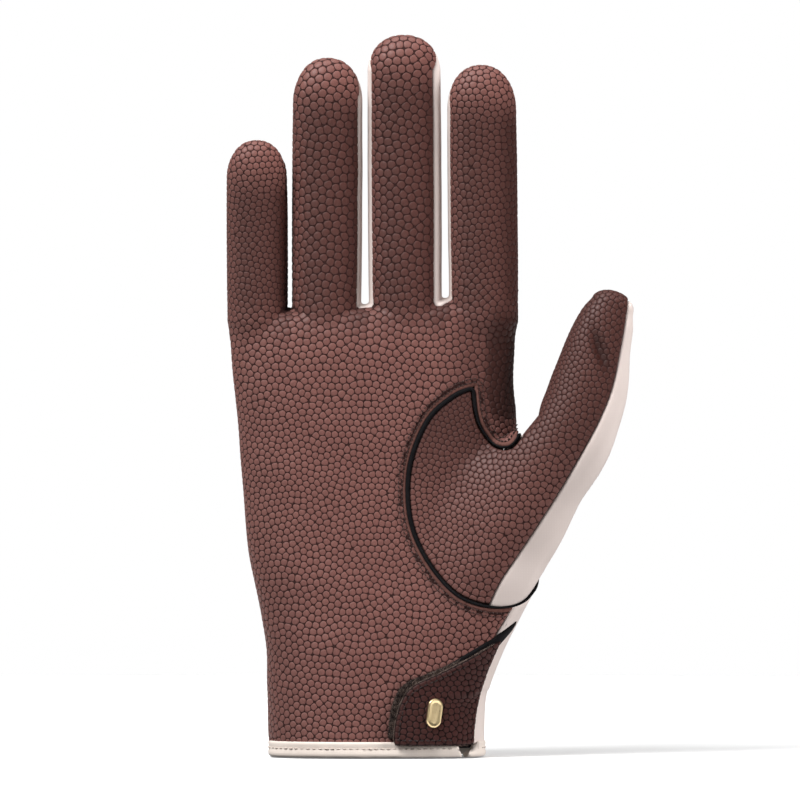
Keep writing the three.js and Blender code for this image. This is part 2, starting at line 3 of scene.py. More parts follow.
import bpy
import numpy as np
from mathutils.kdtree import KDTree
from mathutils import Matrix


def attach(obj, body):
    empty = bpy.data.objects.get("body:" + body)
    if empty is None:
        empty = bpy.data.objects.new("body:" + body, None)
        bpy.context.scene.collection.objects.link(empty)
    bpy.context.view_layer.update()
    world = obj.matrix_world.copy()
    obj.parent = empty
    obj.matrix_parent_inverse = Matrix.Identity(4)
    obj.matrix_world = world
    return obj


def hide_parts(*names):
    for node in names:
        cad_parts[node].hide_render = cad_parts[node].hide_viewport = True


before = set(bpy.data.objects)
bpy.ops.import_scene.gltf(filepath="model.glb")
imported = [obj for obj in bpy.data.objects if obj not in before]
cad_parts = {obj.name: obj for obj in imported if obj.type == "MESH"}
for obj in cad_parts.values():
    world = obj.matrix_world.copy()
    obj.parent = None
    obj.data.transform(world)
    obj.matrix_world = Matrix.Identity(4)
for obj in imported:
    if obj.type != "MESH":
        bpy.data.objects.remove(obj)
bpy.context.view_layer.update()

# The skin that all the panels are cut from, as a glover's last: a palm with its cuff,
# four fingers and a thumb, blended where they meet. It isn't a piece itself. Lengths in
# this file are millimetres until a mesh is made.
palm_length, palm_width, palm_depth = 138.5, 90.5, 27.0
cuff_length, wrist_width, wrist_depth = 33.0, 65.7, 34.0
far_away = 260.0
random = np.random.default_rng(7)

# up, left, right, front, back, hollow
cuff_rows = [
    (-0.40, -0.505, 0.500, 0.500, 0.500, 0),
    (0.00, -0.505, 0.500, 0.500, 0.500, 0),
    (0.30, -0.511, 0.507, 0.490, 0.485, 0),
    (0.65, -0.517, 0.523, 0.475, 0.460, 0),
]
palm_rows = [
    (0.000, -0.377, 0.428, 0.585, 0.540, 0.00),
    (0.100, -0.394, 0.494, 0.570, 0.510, 0.02),
    (0.190, -0.418, 0.535, 0.550, 0.500, 0.03),
    (0.290, -0.439, 0.530, 0.525, 0.500, 0.04),
    (0.430, -0.455, 0.495, 0.505, 0.500, 0.05),
    (0.570, -0.467, 0.486, 0.490, 0.495, 0.05),
    (0.670, -0.476, 0.478, 0.475, 0.480, 0.04),
    (0.800, -0.492, 0.466, 0.440, 0.445, 0.02),
    (0.890, -0.499, 0.470, 0.405, 0.410, 0.00),
    (0.950, -0.504, 0.472, 0.365, 0.370, 0.00),
    (0.985, -0.498, 0.466, 0.305, 0.310, 0.00),
    (1.000, -0.485, 0.455, 0.230, 0.230, 0.00),
    (1.010, -0.470, 0.440, 0.120, 0.120, 0.00),
    (1.016, -0.460, 0.430, 0.020, 0.020, 0.00),
]
palm_square = 2.5
crotch_slope, slope_start = 0.06, 0.88


def smooth_rows(rows, steps=16):
    """A finer table of the same columns, on a smooth curve through the rows."""
    rows = np.array(rows, float)
    place = rows[:, 0]
    slope = np.gradient(rows, place, axis=0)
    fine = np.linspace(place[0], place[-1], steps * len(rows))
    low = np.clip(np.searchsorted(place, fine, side="right") - 1, 0, len(rows) - 2)
    span = (place[low + 1] - place[low])[:, None]
    t = (fine[:, None] - place[low][:, None]) / span
    return (
        (2 * t**3 - 3 * t**2 + 1) * rows[low]
        + (t**3 - 2 * t**2 + t) * span * slope[low]
        + (3 * t**2 - 2 * t**3) * rows[low + 1]
        + (t**3 - t**2) * span * slope[low + 1]
    )


above_cuff = palm_length - cuff_length
palm_table = smooth_rows(
    [
        (up * cuff_length, left * wrist_width, right * wrist_width, front * wrist_depth,
         back * wrist_depth, 0)
        for up, left, right, front, back, hollow in cuff_rows
    ]
    + [
        (cuff_length + up * above_cuff, left * palm_width, right * palm_width,
         front * palm_depth, back * palm_depth, hollow * palm_depth)
        for up, left, right, front, back, hollow in palm_rows
    ]
)


def palm_form(x, y, z):
    """About the distance outside the palm and cuff, in millimetres."""
    up = (z - cuff_length) / above_cuff
    z = z - np.maximum(0, (up - slope_start) / (1 - slope_start)) * crotch_slope * x
    left, right, front, back, hollow = (
        np.interp(z, palm_table[:, 0], palm_table[:, column]) for column in range(1, 6)
    )
    half = (right - left) / 2
    across = np.abs((x - (left + right) / 2) / half)
    sunk = np.where(y < 0, hollow * np.maximum(0, 1 - across**2) ** 2, 0)
    depth = np.where(y < 0, front, back)
    deep = np.abs((y - sunk) / depth)
    size = (across**palm_square + deep**palm_square) ** (1 / palm_square)
    steep = np.hypot(across ** (palm_square - 1) / half, deep ** (palm_square - 1) / depth)
    steep = np.maximum(steep / np.maximum(size, 0.001) ** (palm_square - 1), 0.5 / half)
    return np.maximum((size - 1) / steep, z - palm_table[-1, 0])


# length, width, depth, root, tip, dome, then where the palm panel and the back panel
# end on its left and right side
fingers = {
    "little": (52.0, 18.8, 15.5, -0.409, -0.411, 0.62, 0.20, -0.30, 0.20, 0.50),
    "ring": (77.4, 21.7, 17.5, -0.172, -0.167, 0.62, -0.20, -0.49, 0.50, 0.50),
    "middle": (84.5, 22.9, 18.0, 0.097, 0.092, 0.50, -0.43, -0.64, 0.50, 0.50),
    "index": (75.3, 21.5, 17.5, 0.365, 0.356, 0.64, -0.38, 0.20, 0.50, 0.20),
}
finger_curl = 6.0
finger_square = 2.15
finger_bury, buried_share = 13.0, 0.72
finger_up = (0.0, 0.33, 0.67, 1.0)
finger_wide = (0.985, 1.0, 1.0, 0.985)
finger_deep = (1.06, 1.0, 0.93, 0.86)


def finger_at(finger, z):
    """The middle, half width and half depth of a finger at a height, before its dome."""
    length, width, depth, root, tip, dome = finger[:6]
    shaft = length - dome * width
    up = np.clip((z - palm_length) / shaft, 0, 1)
    way = np.clip((z - palm_length) / length, 0, 1.05)
    into_dome = np.clip((z - palm_length - shaft) / (dome * width), 0, None)
    return (
        (root + (tip - root) * way) * palm_width,
        -finger_curl * way**2,
        np.interp(up, finger_up, finger_wide) * width / 2,
        np.interp(up, finger_up, finger_deep) * depth / 2,
        into_dome,
    )


def finger_form(finger, x, y, z):
    middle, forward, half, deep, into_dome = finger_at(finger, z)
    buried = np.clip((palm_length - z - 4) / (finger_bury - 4), 0, 1)
    shrink = 1 - (1 - buried_share) * buried
    size = (
        np.abs((x - middle) / (half * shrink)) ** finger_square
        + np.abs((y - forward) / (deep * shrink)) ** finger_square
    ) ** (1 / finger_square)
    size = (size**2.22 + into_dome**2) ** (1 / 2.22)
    return np.maximum((size - 1) * deep, palm_length - finger_bury - z)


# along, up, wide, deep, forward, square
thumb_rows = [
    (0.000, 0.000, 0.245, 0.34, 0.20, 1.8),
    (0.060, 0.151, 0.420, 0.43, 0.45, 1.7),
    (0.130, 0.266, 0.540, 0.50, 0.60, 1.6),
    (0.262, 0.389, 0.600, 0.52, 0.75, 1.6),
    (0.450, 0.510, 0.565, 0.50, 0.88, 1.8),
    (0.630, 0.590, 0.480, 0.46, 1.00, 2.1),
    (0.743, 0.675, 0.444, 0.44, 1.05, 2.2),
    (0.812, 0.764, 0.413, 0.41, 1.00, 2.2),
    (0.862, 0.850, 0.356, 0.37, 1.00, 2.2),
    (0.916, 0.918, 0.302, 0.31, 1.02, 2.2),
    (0.954, 0.957, 0.236, 0.25, 1.03, 2.2),
]
thumb_length, thumb_spread, thumb_width, thumb_depth = 121.0, 48.0, 28.6, 22.5
thumb_forward, thumb_root, thumb_cap = 10.0, (0.298 * palm_width, 23.4), 4.6
# place along the row, x, y, z, half width, half depth, squareness
thumb_line = smooth_rows(
    [
        (row, thumb_root[0] + along * thumb_spread, -forward * thumb_forward,
         thumb_root[1] + up * thumb_length, wide * thumb_width, deep * thumb_depth, square)
        for row, (along, up, wide, deep, forward, square) in enumerate(thumb_rows)
    ],
    steps=10,
)
thumb_step = np.gradient(thumb_line[:, [1, 3]], axis=0)
thumb_pace = np.hypot(*thumb_step.T)
thumb_step = thumb_step / thumb_pace[:, None]
points_at_once = 60000


def thumb_form(x, y, z):
    if len(x) > points_at_once:
        half = len(x) // 2
        return np.concatenate([
            thumb_form(x[:half], y[:half], z[:half]), thumb_form(x[half:], y[half:], z[half:])
        ])
    apart = (x[:, None] - thumb_line[:, 1]) ** 2 + (z[:, None] - thumb_line[:, 3]) ** 2
    near = apart.argmin(axis=1)
    beyond = (
        (x - thumb_line[near, 1]) * thumb_step[near, 0]
        + (z - thumb_line[near, 3]) * thumb_step[near, 1]
    )
    place = near + beyond / thumb_pace[near]
    last = len(thumb_line) - 1
    over = np.where(place < 0, np.abs(beyond), -99.0)
    into_cap = np.where(place > last, beyond / thumb_cap, 0)
    rows = np.arange(last + 1)
    mid_x, mid_y, mid_z, half, deep, square = (
        np.interp(place, rows, thumb_line[:, column]) for column in range(1, 7)
    )
    step_x, step_z = (np.interp(place, rows, thumb_step[:, column]) for column in (0, 1))
    across = (x - mid_x) * step_z - (z - mid_z) * step_x
    size = (np.abs(across / half) ** square + np.abs((y - mid_y) / deep) ** square) ** (1 / square)
    size = np.hypot(size, into_cap)
    return np.maximum((size - 1) * np.minimum(deep, half), over)


def blended(a, b, reach):
    """The nearer of two forms, with a fillet where they meet."""
    share = np.clip(0.5 + 0.5 * (b - a) / reach, 0, 1)
    return b + (a - b) * share - reach * share * (1 - share)


crease_middle, crease_way = (68.4, 125.7), (0.29, -0.957)
# heights, then the middle and the half width of the gap between the index finger's root
# and the thumb
gap_foot, gap_top = 99.0, 112.0
gap_middle = (gap_foot, 105.5, gap_top), (44.3, 46.8, 47.8)
gap_half = (gap_foot, 100.0, 105.5, gap_top), (-0.1, 0.9, 3.2, 2.6)


def by_crease(x, z):
    """How far points lie along and beside the crease at the thumb's upper joint."""
    right, up = x - crease_middle[0], z - crease_middle[1]
    return (
        right * crease_way[0] + up * crease_way[1], up * crease_way[0] - right * crease_way[1]
    )


def hand_form(p):
    """About the distance of points outside the whole hand."""
    x, y, z = p.T
    form = palm_form(x, y, z)
    digits = np.full(len(p), 99.0)
    for finger in fingers.values():
        near = (z > palm_length - 15) & (np.abs(x - finger[3] * palm_width) < 22)
        one = np.full(len(p), 99.0)
        one[near] = finger_form(finger, x[near], y[near], z[near])
        digits = blended(digits, one, 0.3)
    form = blended(form, digits, 1.0)
    near = (x > 8) & (z > 10) & (z < 160)
    thumb = np.full(len(p), 99.0)
    thumb[near] = thumb_form(x[near], y[near], z[near])
    along, beside = by_crease(x, z)
    thumb += 1.5 * np.exp(-((along / 6) ** 2) - (beside / 1.5) ** 2) * (y < -6)
    # the worn leather's soft waves
    waves = np.sin(0.21 * x + 0.13 * z) * np.sin(0.11 * z - 0.09 * x + 1.3)
    waves += 0.6 * np.sin(0.33 * z - 0.17 * x) * np.sin(0.27 * x + 0.05 * z + 0.7)
    waves = waves * np.interp(z, (90, 135), (0.16, 0.03))
    reach = 0.8 + np.interp(z, (75, 92), (2.4, 0)) + np.interp(y, (-12, -7), (5.5, 0))
    form = blended(form, thumb, reach) + waves
    gap = np.interp(z, *gap_half) - np.abs(x - np.interp(z, *gap_middle))
    gap = np.where((z > gap_foot) & (z < gap_top), gap, -99.0)
    return -blended(-form, -gap, 1.6)


def slope_of(form, p, reach=0.04):
    value = form(p)
    return value, np.stack(
        [(form(p + reach * axis) - value) / reach for axis in np.eye(3)], axis=1
    )


def onto_hand(p, times=2):
    for _ in range(times):
        value, slope = slope_of(hand_form, p)
        move = (value / np.maximum((slope**2).sum(1), 0.05))[:, None] * slope
        p = p - np.clip(move, -0.8, 0.8)
    return p


def outward(p):
    slope = slope_of(hand_form, p)[1]
    return slope / np.maximum(np.linalg.norm(slope, axis=1), 1e-6)[:, None]


def even_skin(cell=0.9):
    """The hand's surface as even triangles, open at the wrist."""
    low, high = np.array([-48.0, -25.0, -2.0]), np.array([80.0, 22.0, 226.0])
    count = ((high - low) / cell).astype(int) + 1
    grid = np.stack(
        np.meshgrid(*[low[i] + cell * np.arange(count[i]) for i in range(3)], indexing="ij"), -1
    )
    inside = (hand_form(grid.reshape(-1, 3)) < 0).reshape(count)
    number = np.full(count - 1, -1)
    corners = [
        inside[a : count[0] - 1 + a, b : count[1] - 1 + b, c : count[2] - 1 + c]
        for a in (0, 1) for b in (0, 1) for c in (0, 1)
    ]
    filled = sum(corner.astype(int) for corner in corners)
    active = (filled > 0) & (filled < 8)
    number[active] = np.arange(active.sum())
    points = low + cell * (np.argwhere(active) + 0.5)
    quads = []
    for axis in range(3):
        one, two = (axis + 1) % 3, (axis + 2) % 3
        here = np.moveaxis(inside, (axis, one, two), (0, 1, 2))
        cells = np.moveaxis(number, (axis, one, two), (0, 1, 2))
        change = here[1:, 1:-1, 1:-1] != here[:-1, 1:-1, 1:-1]
        a, b, c = np.nonzero(change)
        ring = np.stack(
            [cells[a, b, c], cells[a, b + 1, c], cells[a, b + 1, c + 1], cells[a, b, c + 1]], 1
        )
        turned = here[1:, 1:-1, 1:-1][a, b, c]
        ring[turned] = ring[turned][:, ::-1]
        quads.append(ring)
    quads = np.concatenate(quads)
    quads = quads[(quads >= 0).all(1)]
    points = onto_hand(points, 3)
    pairs = np.concatenate([quads[:, [i, (i + 1) % 4]] for i in range(4)])
    pairs = np.concatenate([pairs, pairs[:, ::-1]])
    share = np.bincount(pairs[:, 0], minlength=len(points))
    for _ in range(4):
        mean = np.stack(
            [np.bincount(pairs[:, 0], points[pairs[:, 1], i], len(points)) for i in range(3)], 1
        ) / np.maximum(share, 1)[:, None]
        points = onto_hand(points + 0.6 * (mean - points), 1)
    first = np.linalg.norm(points[quads[:, 0]] - points[quads[:, 2]], axis=1)
    second = np.linalg.norm(points[quads[:, 1]] - points[quads[:, 3]], axis=1)
    short = (first < second)[:, None]
    return points, np.concatenate([
        np.where(short, quads[:, [0, 1, 2]], quads[:, [1, 2, 3]]),
        np.where(short, quads[:, [0, 2, 3]], quads[:, [1, 3, 0]]),
    ])


skin = even_skin()

# The seams, drawn on the skin in the same places as on the frame. Each one is a
# function of points that gives about how far they lie on its inner side.
finger_list = list(fingers.values())


def smooth_line(rows, width, height, steps=6):
    p = np.array(rows, float) * (width, height)
    p = np.vstack([p[:1], p, p[-1:]])
    t = np.linspace(0, 1, steps, endpoint=False)[:, None]
    runs = []
    for a, b, c, d in zip(p, p[1:], p[2:], p[3:]):
        runs.append(
            b + (c - a) / 2 * t + (2 * a - 5 * b + 4 * c - d) / 2 * t**2
            + (3 * b - a - 3 * c + d) / 2 * t**3
        )
    return np.vstack([*runs, p[-1:]])


def inside_line(p, line, rest):
    """How far points lie inside a region bounded by a line in X and Z; the rest of the
    region's outline runs through empty space."""
    x, z = p[:, 0], p[:, 2]
    start, step = line[:-1], np.diff(line, axis=0)
    t = (x[:, None] - start[:, 0]) * step[:, 0] + (z[:, None] - start[:, 1]) * step[:, 1]
    t = np.clip(t / (step**2).sum(1), 0, 1)
    apart = np.hypot(
        x[:, None] - start[:, 0] - t * step[:, 0], z[:, None] - start[:, 1] - t * step[:, 1]
    ).min(axis=1)
    outline = np.vstack([line, np.array(rest, float).reshape(-1, 2)])
    within = np.zeros(len(p), bool)
    for (x0, z0), (x1, z1) in zip(outline, np.roll(outline, -1, axis=0)):
        if z0 != z1:
            within ^= ((z0 > z) != (z1 > z)) & (x < x0 + (z - z0) * (x1 - x0) / (z1 - z0))
    return np.where(within, apart, -apart)


def eased(value):
    value = np.clip(value, 0, 1)
    return value * value * (3 - 2 * value)


tongue_line = [
    (0.484, 0.720), (0.452, 0.695), (0.405, 0.698), (0.360, 0.734), (0.341, 0.772),
    (0.333, 0.826),
]
keyhole_line = [
    (0.333, 0.826), (0.262, 0.808), (0.170, 0.753), (0.108, 0.650), (0.108, 0.535),
    (0.165, 0.440), (0.270, 0.360), (0.400, 0.332), (0.505, 0.345), (0.572, 0.402),
]
thumb_back_line = [
    (0.484, 0.724), (0.445, 0.695), (0.425, 0.630), (0.445, 0.540), (0.500, 0.450),
    (0.572, 0.402),
]
keyhole = np.vstack([
    smooth_line(tongue_line, palm_width, palm_length)[:-1],
    smooth_line(keyhole_line, palm_width, palm_length),
])
thumb_back_seam = smooth_line(thumb_back_line, palm_width, palm_length)
between_index_and_thumb = 52.5
# round the thumb through empty space, then down the gap beside the index finger
round_thumb = [
    (far_away, keyhole[-1, 1] - 1), (far_away, far_away), (between_index_and_thumb, far_away),
    (between_index_and_thumb, palm_length), (47.8, 112.0), (46.8, 105.5), (44.8, 100.2),
]


def inside_thumb(p):
    front = inside_line(p, keyhole, round_thumb)
    back = inside_line(p, thumb_back_seam, round_thumb)
    return front + (back - front) * eased((p[:, 1] + 6) / 6)


thumb_side_line = smooth_line(
    [
        (0.360, 0.300), (0.412, 0.380), (0.484, 0.452), (0.556, 0.523), (0.625, 0.594),
        (0.687, 0.665), (0.748, 0.737), (0.796, 0.809), (0.824, 0.880), (0.852, 0.980),
        (0.868, 1.060),
    ],
    palm_width, palm_length,
)
thumb_seam_back = 0.35


def thumb_front_side(p):
    rest = [
        (-far_away, palm_length + 35), (-far_away, -far_away),
        (thumb_side_line[0, 0], -far_away),
    ]
    seam = np.interp(
        p[:, 2], thumb_line[:, 3], thumb_line[:, 2] + thumb_seam_back * thumb_line[:, 5]
    )
    return np.minimum(inside_line(p, thumb_side_line, rest), seam - p[:, 1])


side_seam_back = 0.1 * palm_depth


def seam_height(p, left, right):
    """Where in depth a panel ends, from its columns in the finger table."""
    x, z = p[:, 0], p[:, 2]
    knots = []
    for finger in finger_list:
        middle, forward, half, deep, into_dome = finger_at(finger, z)
        narrow = np.maximum(1 - into_dome**2, 0) ** 0.45
        dome = finger[5] * finger[1]
        taper = np.clip((palm_length + finger[0] - 0.35 * dome - z) / (0.6 * dome), 0, 1)
        half, deep = np.maximum(half * narrow, 2), deep * narrow * taper
        knots.append((middle - half, forward + finger[left] * deep))
        knots.append((middle + half, forward + finger[right] * deep))
    height = knots[0][1].copy()
    for (x0, y0), (x1, y1) in zip(knots, knots[1:]):
        height += (y1 - y0) * np.clip((x - x0) / (x1 - x0), 0, 1)
    return side_seam_back + (height - side_seam_back) * eased((z - 124) / 9)


def before_palm_seam(p):
    return seam_height(p, 6, 7) - p[:, 1]


def before_back_seam(p):
    return seam_height(p, 8, 9) - p[:, 1]


tab_height = 40.0
crotch = keyhole[0]


def slit(rows):
    line = smooth_line(rows, wrist_width, tab_height)
    bend = (crotch[0] - thumb_width / 4, (crotch[1] + line[0, 1]) / 2)
    rest = [
        (-far_away, line[-1, 1] - 1), (-far_away, far_away), (far_away, far_away),
        (far_away, crotch[1]),
    ]
    line = np.vstack([crotch, bend, line])
    return lambda p: inside_line(p, line, rest)


left_of_palm_slit = slit(
    [(0.700, 1.300), (0.550, 0.915), (0.400, 0.500), (0.362, 0.100), (0.356, -0.100)]
)
left_of_back_slit = slit(
    [(0.704, 1.300), (0.556, 0.915), (0.432, 0.500), (0.402, 0.100), (0.396, -0.100)]
)


def used_points(points, faces):
    kept, renumbered = np.unique(faces, return_inverse=True)
    return points[kept], renumbered.reshape(-1, 3)


def split(points, faces, field, level, cut=False, near=0.2):
    """Draws a row of points along a field's level; cut drops what lies below it."""
    points = points.copy()
    value = field(points) - level
    close = np.nonzero(np.abs(value) < near)[0]
    for _ in range(2):
        if len(close):
            here = points[close]
            away, slope = slope_of(lambda q: field(q) - level, here)
            normal = outward(here)
            slope = slope - (slope * normal).sum(1)[:, None] * normal
            move = away / np.maximum((slope**2).sum(1), 0.3)
            points[close] = onto_hand(here - np.clip(move, -0.3, 0.3)[:, None] * slope, 1)
    value[close] = 0
    sign = np.sign(value).astype(int)
    of_face = sign[faces]
    mixed = (of_face.min(1) < 0) & (of_face.max(1) > 0)
    whole, crossed, signs = faces[~mixed], faces[mixed], of_face[mixed]
    touching = (signs == 0).any(1)
    lone = np.where(
        touching, (signs == 0).argmax(1),
        np.where((signs > 0).sum(1) == 1, (signs > 0).argmax(1), (signs < 0).argmax(1)),
    )
    a, b, c = (crossed[np.arange(len(crossed)), (lone + i) % 3] for i in range(3))
    ends = np.concatenate([
        np.sort(np.stack([b, c], 1)[touching], 1),
        np.sort(np.stack([a, b], 1)[~touching], 1), np.sort(np.stack([a, c], 1)[~touching], 1),
    ])
    edges, place = np.unique(ends, axis=0, return_inverse=True)
    place = place.ravel() + len(points)
    t = value[edges[:, 0]] / (value[edges[:, 0]] - value[edges[:, 1]])
    added = points[edges[:, 0]] + t[:, None] * (points[edges[:, 1]] - points[edges[:, 0]])
    points = np.vstack([points, onto_hand(added, 1) if len(added) else added])
    value = np.concatenate([value, np.zeros(len(added))])
    once, twice = touching.sum(), (~touching).sum()
    middle, on_ab, on_ac = np.split(place, [once, once + twice])
    at, bt, ct = a[touching], b[touching], c[touching]
    ao, bo, co = a[~touching], b[~touching], c[~touching]
    faces = np.concatenate([
        whole, np.stack([at, bt, middle], 1), np.stack([at, middle, ct], 1),
        np.stack([ao, on_ab, on_ac], 1), np.stack([on_ab, bo, co], 1),
        np.stack([on_ab, co, on_ac], 1),
    ])
    if cut:
        faces = faces[value[faces].sum(1) > 0]
    return used_points(points, faces)


def largest_part(points, faces):
    label = np.arange(len(points))
    while True:
        before = label.copy()
        for one, two in ((0, 1), (1, 2), (2, 0)):
            np.minimum.at(label, faces[:, one], label[faces[:, two]])
            np.minimum.at(label, faces[:, two], label[faces[:, one]])
        label = label[label]
        if (label == before).all():
            break
    biggest = np.bincount(label[faces[:, 0]]).argmax()
    return used_points(points, faces[label[faces[:, 0]] == biggest])


def cut_panel(edges, gap=0.06, start=None):
    """A panel of the skin inside its edges, each a field, the width in which the edge
    rolls over, and how deep it sinks. Rows of points follow every edge."""
    points, faces = start or skin
    close = np.ones(len(points), bool)
    for field, width, sink in edges:
        close &= field(points) > -2.5
    points, faces = used_points(points, faces[close[faces].all(1)])
    for field, width, sink in edges:
        for level in (width, 0.62 * width, 0.3 * width):
            points, faces = split(points, faces, field, level)
        points, faces = split(points, faces, field, gap, cut=True)
    return largest_part(points, faces)


def edge_sink(p, edges):
    """How far the skin sinks towards a panel's edges."""
    return sum(
        sink * np.clip(1 - field(p) / width, 0, 1) ** 2 for field, width, sink in edges
    )


def thickened(points, faces, top, bottom):
    """A closed wall between two layers over the same faces."""
    ways = np.concatenate([faces[:, [0, 1]], faces[:, [1, 2]], faces[:, [2, 0]]])
    count = len(points)
    known = set((ways[:, 1] * count + ways[:, 0]).tolist())
    keys = (ways[:, 0] * count + ways[:, 1]).tolist()
    border = np.array([way for way, key in zip(ways.tolist(), keys) if key not in known])
    a, b = border.T
    return np.vstack([top, bottom]), np.concatenate([
        faces, faces[:, ::-1] + count,
        np.stack([b, a, a + count], 1), np.stack([b, a + count, b + count], 1),
    ])


def to_piece(name, points, faces, finish, slot, marks={}):
    """A mesh object of triangles from millimetres, riding on the glove's one body."""
    mesh = bpy.data.meshes.new(name)
    mesh.vertices.add(len(points))
    mesh.vertices.foreach_set("co", (points * 0.001).astype(np.float32).ravel())
    mesh.loops.add(3 * len(faces))
    mesh.loops.foreach_set("vertex_index", faces.astype(np.int32).ravel())
    mesh.polygons.add(len(faces))
    mesh.polygons.foreach_set("loop_start", np.arange(0, 3 * len(faces), 3, dtype=np.int32))
    mesh.polygons.foreach_set("use_smooth", np.ones(len(faces), bool))
    for mark, values in marks.items():
        mesh.attributes.new(mark, "FLOAT", "POINT").data.foreach_set(
            "value", np.asarray(values, np.float32)
        )
    mesh.update(calc_edges=True)
    mesh.validate()
    piece = bpy.data.objects.new(name, mesh)
    bpy.context.scene.collection.objects.link(piece)
    mesh.materials.append(finish)
    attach(piece, "root")
    return piece


class Shade:
    """A value, colour or vector in a material; sums on values add Math nodes."""

    def __init__(self, tree, socket=None):
        self.tree, self.socket = tree, socket

    def node(self, kind, settings={}, inputs={}, output=0):
        made = self.tree.nodes.new(kind)
        for name, value in settings.items():
            setattr(made, name, value)
        for key, value in inputs.items():
            if isinstance(value, Shade):
                self.tree.links.new(value.socket, made.inputs[key])
            else:
                made.inputs[key].default_value = value
        return Shade(self.tree, made.outputs[output] if made.outputs else None)

    def maths(self, operation, *values):
        return self.node("ShaderNodeMath", {"operation": operation}, dict(enumerate(values)))

    def __add__(self, other):
        return self.maths("ADD", self, other)

    def __sub__(self, other):
        return self.maths("SUBTRACT", self, other)

    def __rsub__(self, other):
        return self.maths("SUBTRACT", other, self)

    def __mul__(self, other):
        return self.maths("MULTIPLY", self, other)

    def __truediv__(self, other):
        return self.maths("DIVIDE", self, other)

    def __pow__(self, other):
        return self.maths("POWER", self, other)

    __radd__, __rmul__ = __add__, __mul__

    def mixed(self, low, high):
        """A colour between two, by this value."""
        return self.node(
            "ShaderNodeMix", {"data_type": "RGBA"}, {0: self, 6: low, 7: high}, output=2
        )

    def span(self, low, high, to_low=0.0, to_high=1.0):
        return self.node(
            "ShaderNodeMapRange", {"interpolation_type": "SMOOTHSTEP"},
            {0: self, 1: low, 2: high, 3: to_low, 4: to_high},
        )


def colour(red, green, blue):
    """A screen colour out of 255 as the linear colour that nodes take."""
    return tuple(((c / 255 + 0.055) / 1.055) ** 2.4 for c in (red, green, blue)) + (1.0,)


def finish(name):
    """A new material; gives it with its Shade and its Principled node's setter."""
    material = bpy.data.materials.new(name)
    material.use_nodes = True
    tree = material.node_tree
    tree.nodes.clear()
    start = Shade(tree)

    def surface(**sockets):
        named = {key.replace("_", " "): value for key, value in sockets.items()}
        made = start.node("ShaderNodeBsdfPrincipled", {}, named)
        start.node("ShaderNodeOutputMaterial", {}, {"Surface": made})

    place = start.node("ShaderNodeTexCoord", output=3)
    return material, start, place, surface


# Brown embossed leather: a dark ground in the grooves with low rounded scales on it,
# each scale its own small dome. The ground is the panel, the scales are sown on it.
def leather_ground(name, dark, fold_colour):
    material, start, place, surface = finish(name)
    speck = start.node("ShaderNodeTexNoise", {}, {"Vector": place, "Scale": 900.0, "Detail": 3.0})
    fold = start.node("ShaderNodeAttribute", {"attribute_name": "fold"}, output=2)
    worn = tuple(1.5 * c for c in dark[:3]) + (1.0,)
    surface(
        Base_Color=(fold * speck.span(0.25, 0.6, 0.5, 1.0)).mixed(
            speck.mixed(dark, worn), fold_colour
        ),
        Roughness=speck.span(0.2, 0.8, 0.65, 0.85),
        Specular_IOR_Level=0.1,
        Normal=start.node(
            "ShaderNodeBump", {}, {"Strength": 0.25, "Distance": 0.0001, "Height": speck}
        ),
    )
    return material


def leather_scales(name, deep, pale, rim, shade_colour, shine=0.3):
    material, start, place, surface = finish(name)
    tone = start.node("ShaderNodeAttribute", {"attribute_name": "tone"}, output=2)
    crown = start.node("ShaderNodeAttribute", {"attribute_name": "crown"}, output=2)
    painted_shade = start.node("ShaderNodeAttribute", {"attribute_name": "painted_shade"}, output=2)
    cloud = start.node("ShaderNodeTexNoise", {}, {"Vector": place, "Scale": 45.0, "Detail": 2.0})
    grain = start.node("ShaderNodeTexNoise", {}, {"Vector": place, "Scale": 2600.0, "Detail": 4.0})
    body = (tone * 0.4 + cloud * 0.6).mixed(deep, pale)
    body = crown.span(0.0, 0.5).mixed(rim, body)
    # painted shade: the scales darken towards the shade colour as far as the painted shade mark
    # says
    body = (painted_shade * 0.6).mixed(body, shade_colour)
    surface(
        Base_Color=grain.span(0.3, 0.75, 0.0, 0.25).mixed(body, rim),
        Roughness=grain.span(0.2, 0.8, 0.44, 0.58) + (1 - crown) * 0.15,
        Specular_IOR_Level=shine,
        Normal=start.node(
            "ShaderNodeBump", {}, {"Strength": 0.3, "Distance": 0.00006, "Height": grain}
        ),
    )
    return material


brown_ground = leather_ground("brown_ground", colour(48, 30, 28), colour(112, 76, 69))
# the scales' deep, pale and rim colours, then the colour of their painted shade
brown_scales = leather_scales(
    "brown_scales", colour(116, 75, 69), colour(134, 90, 83), colour(62, 38, 35),
    colour(54, 26, 21),
)


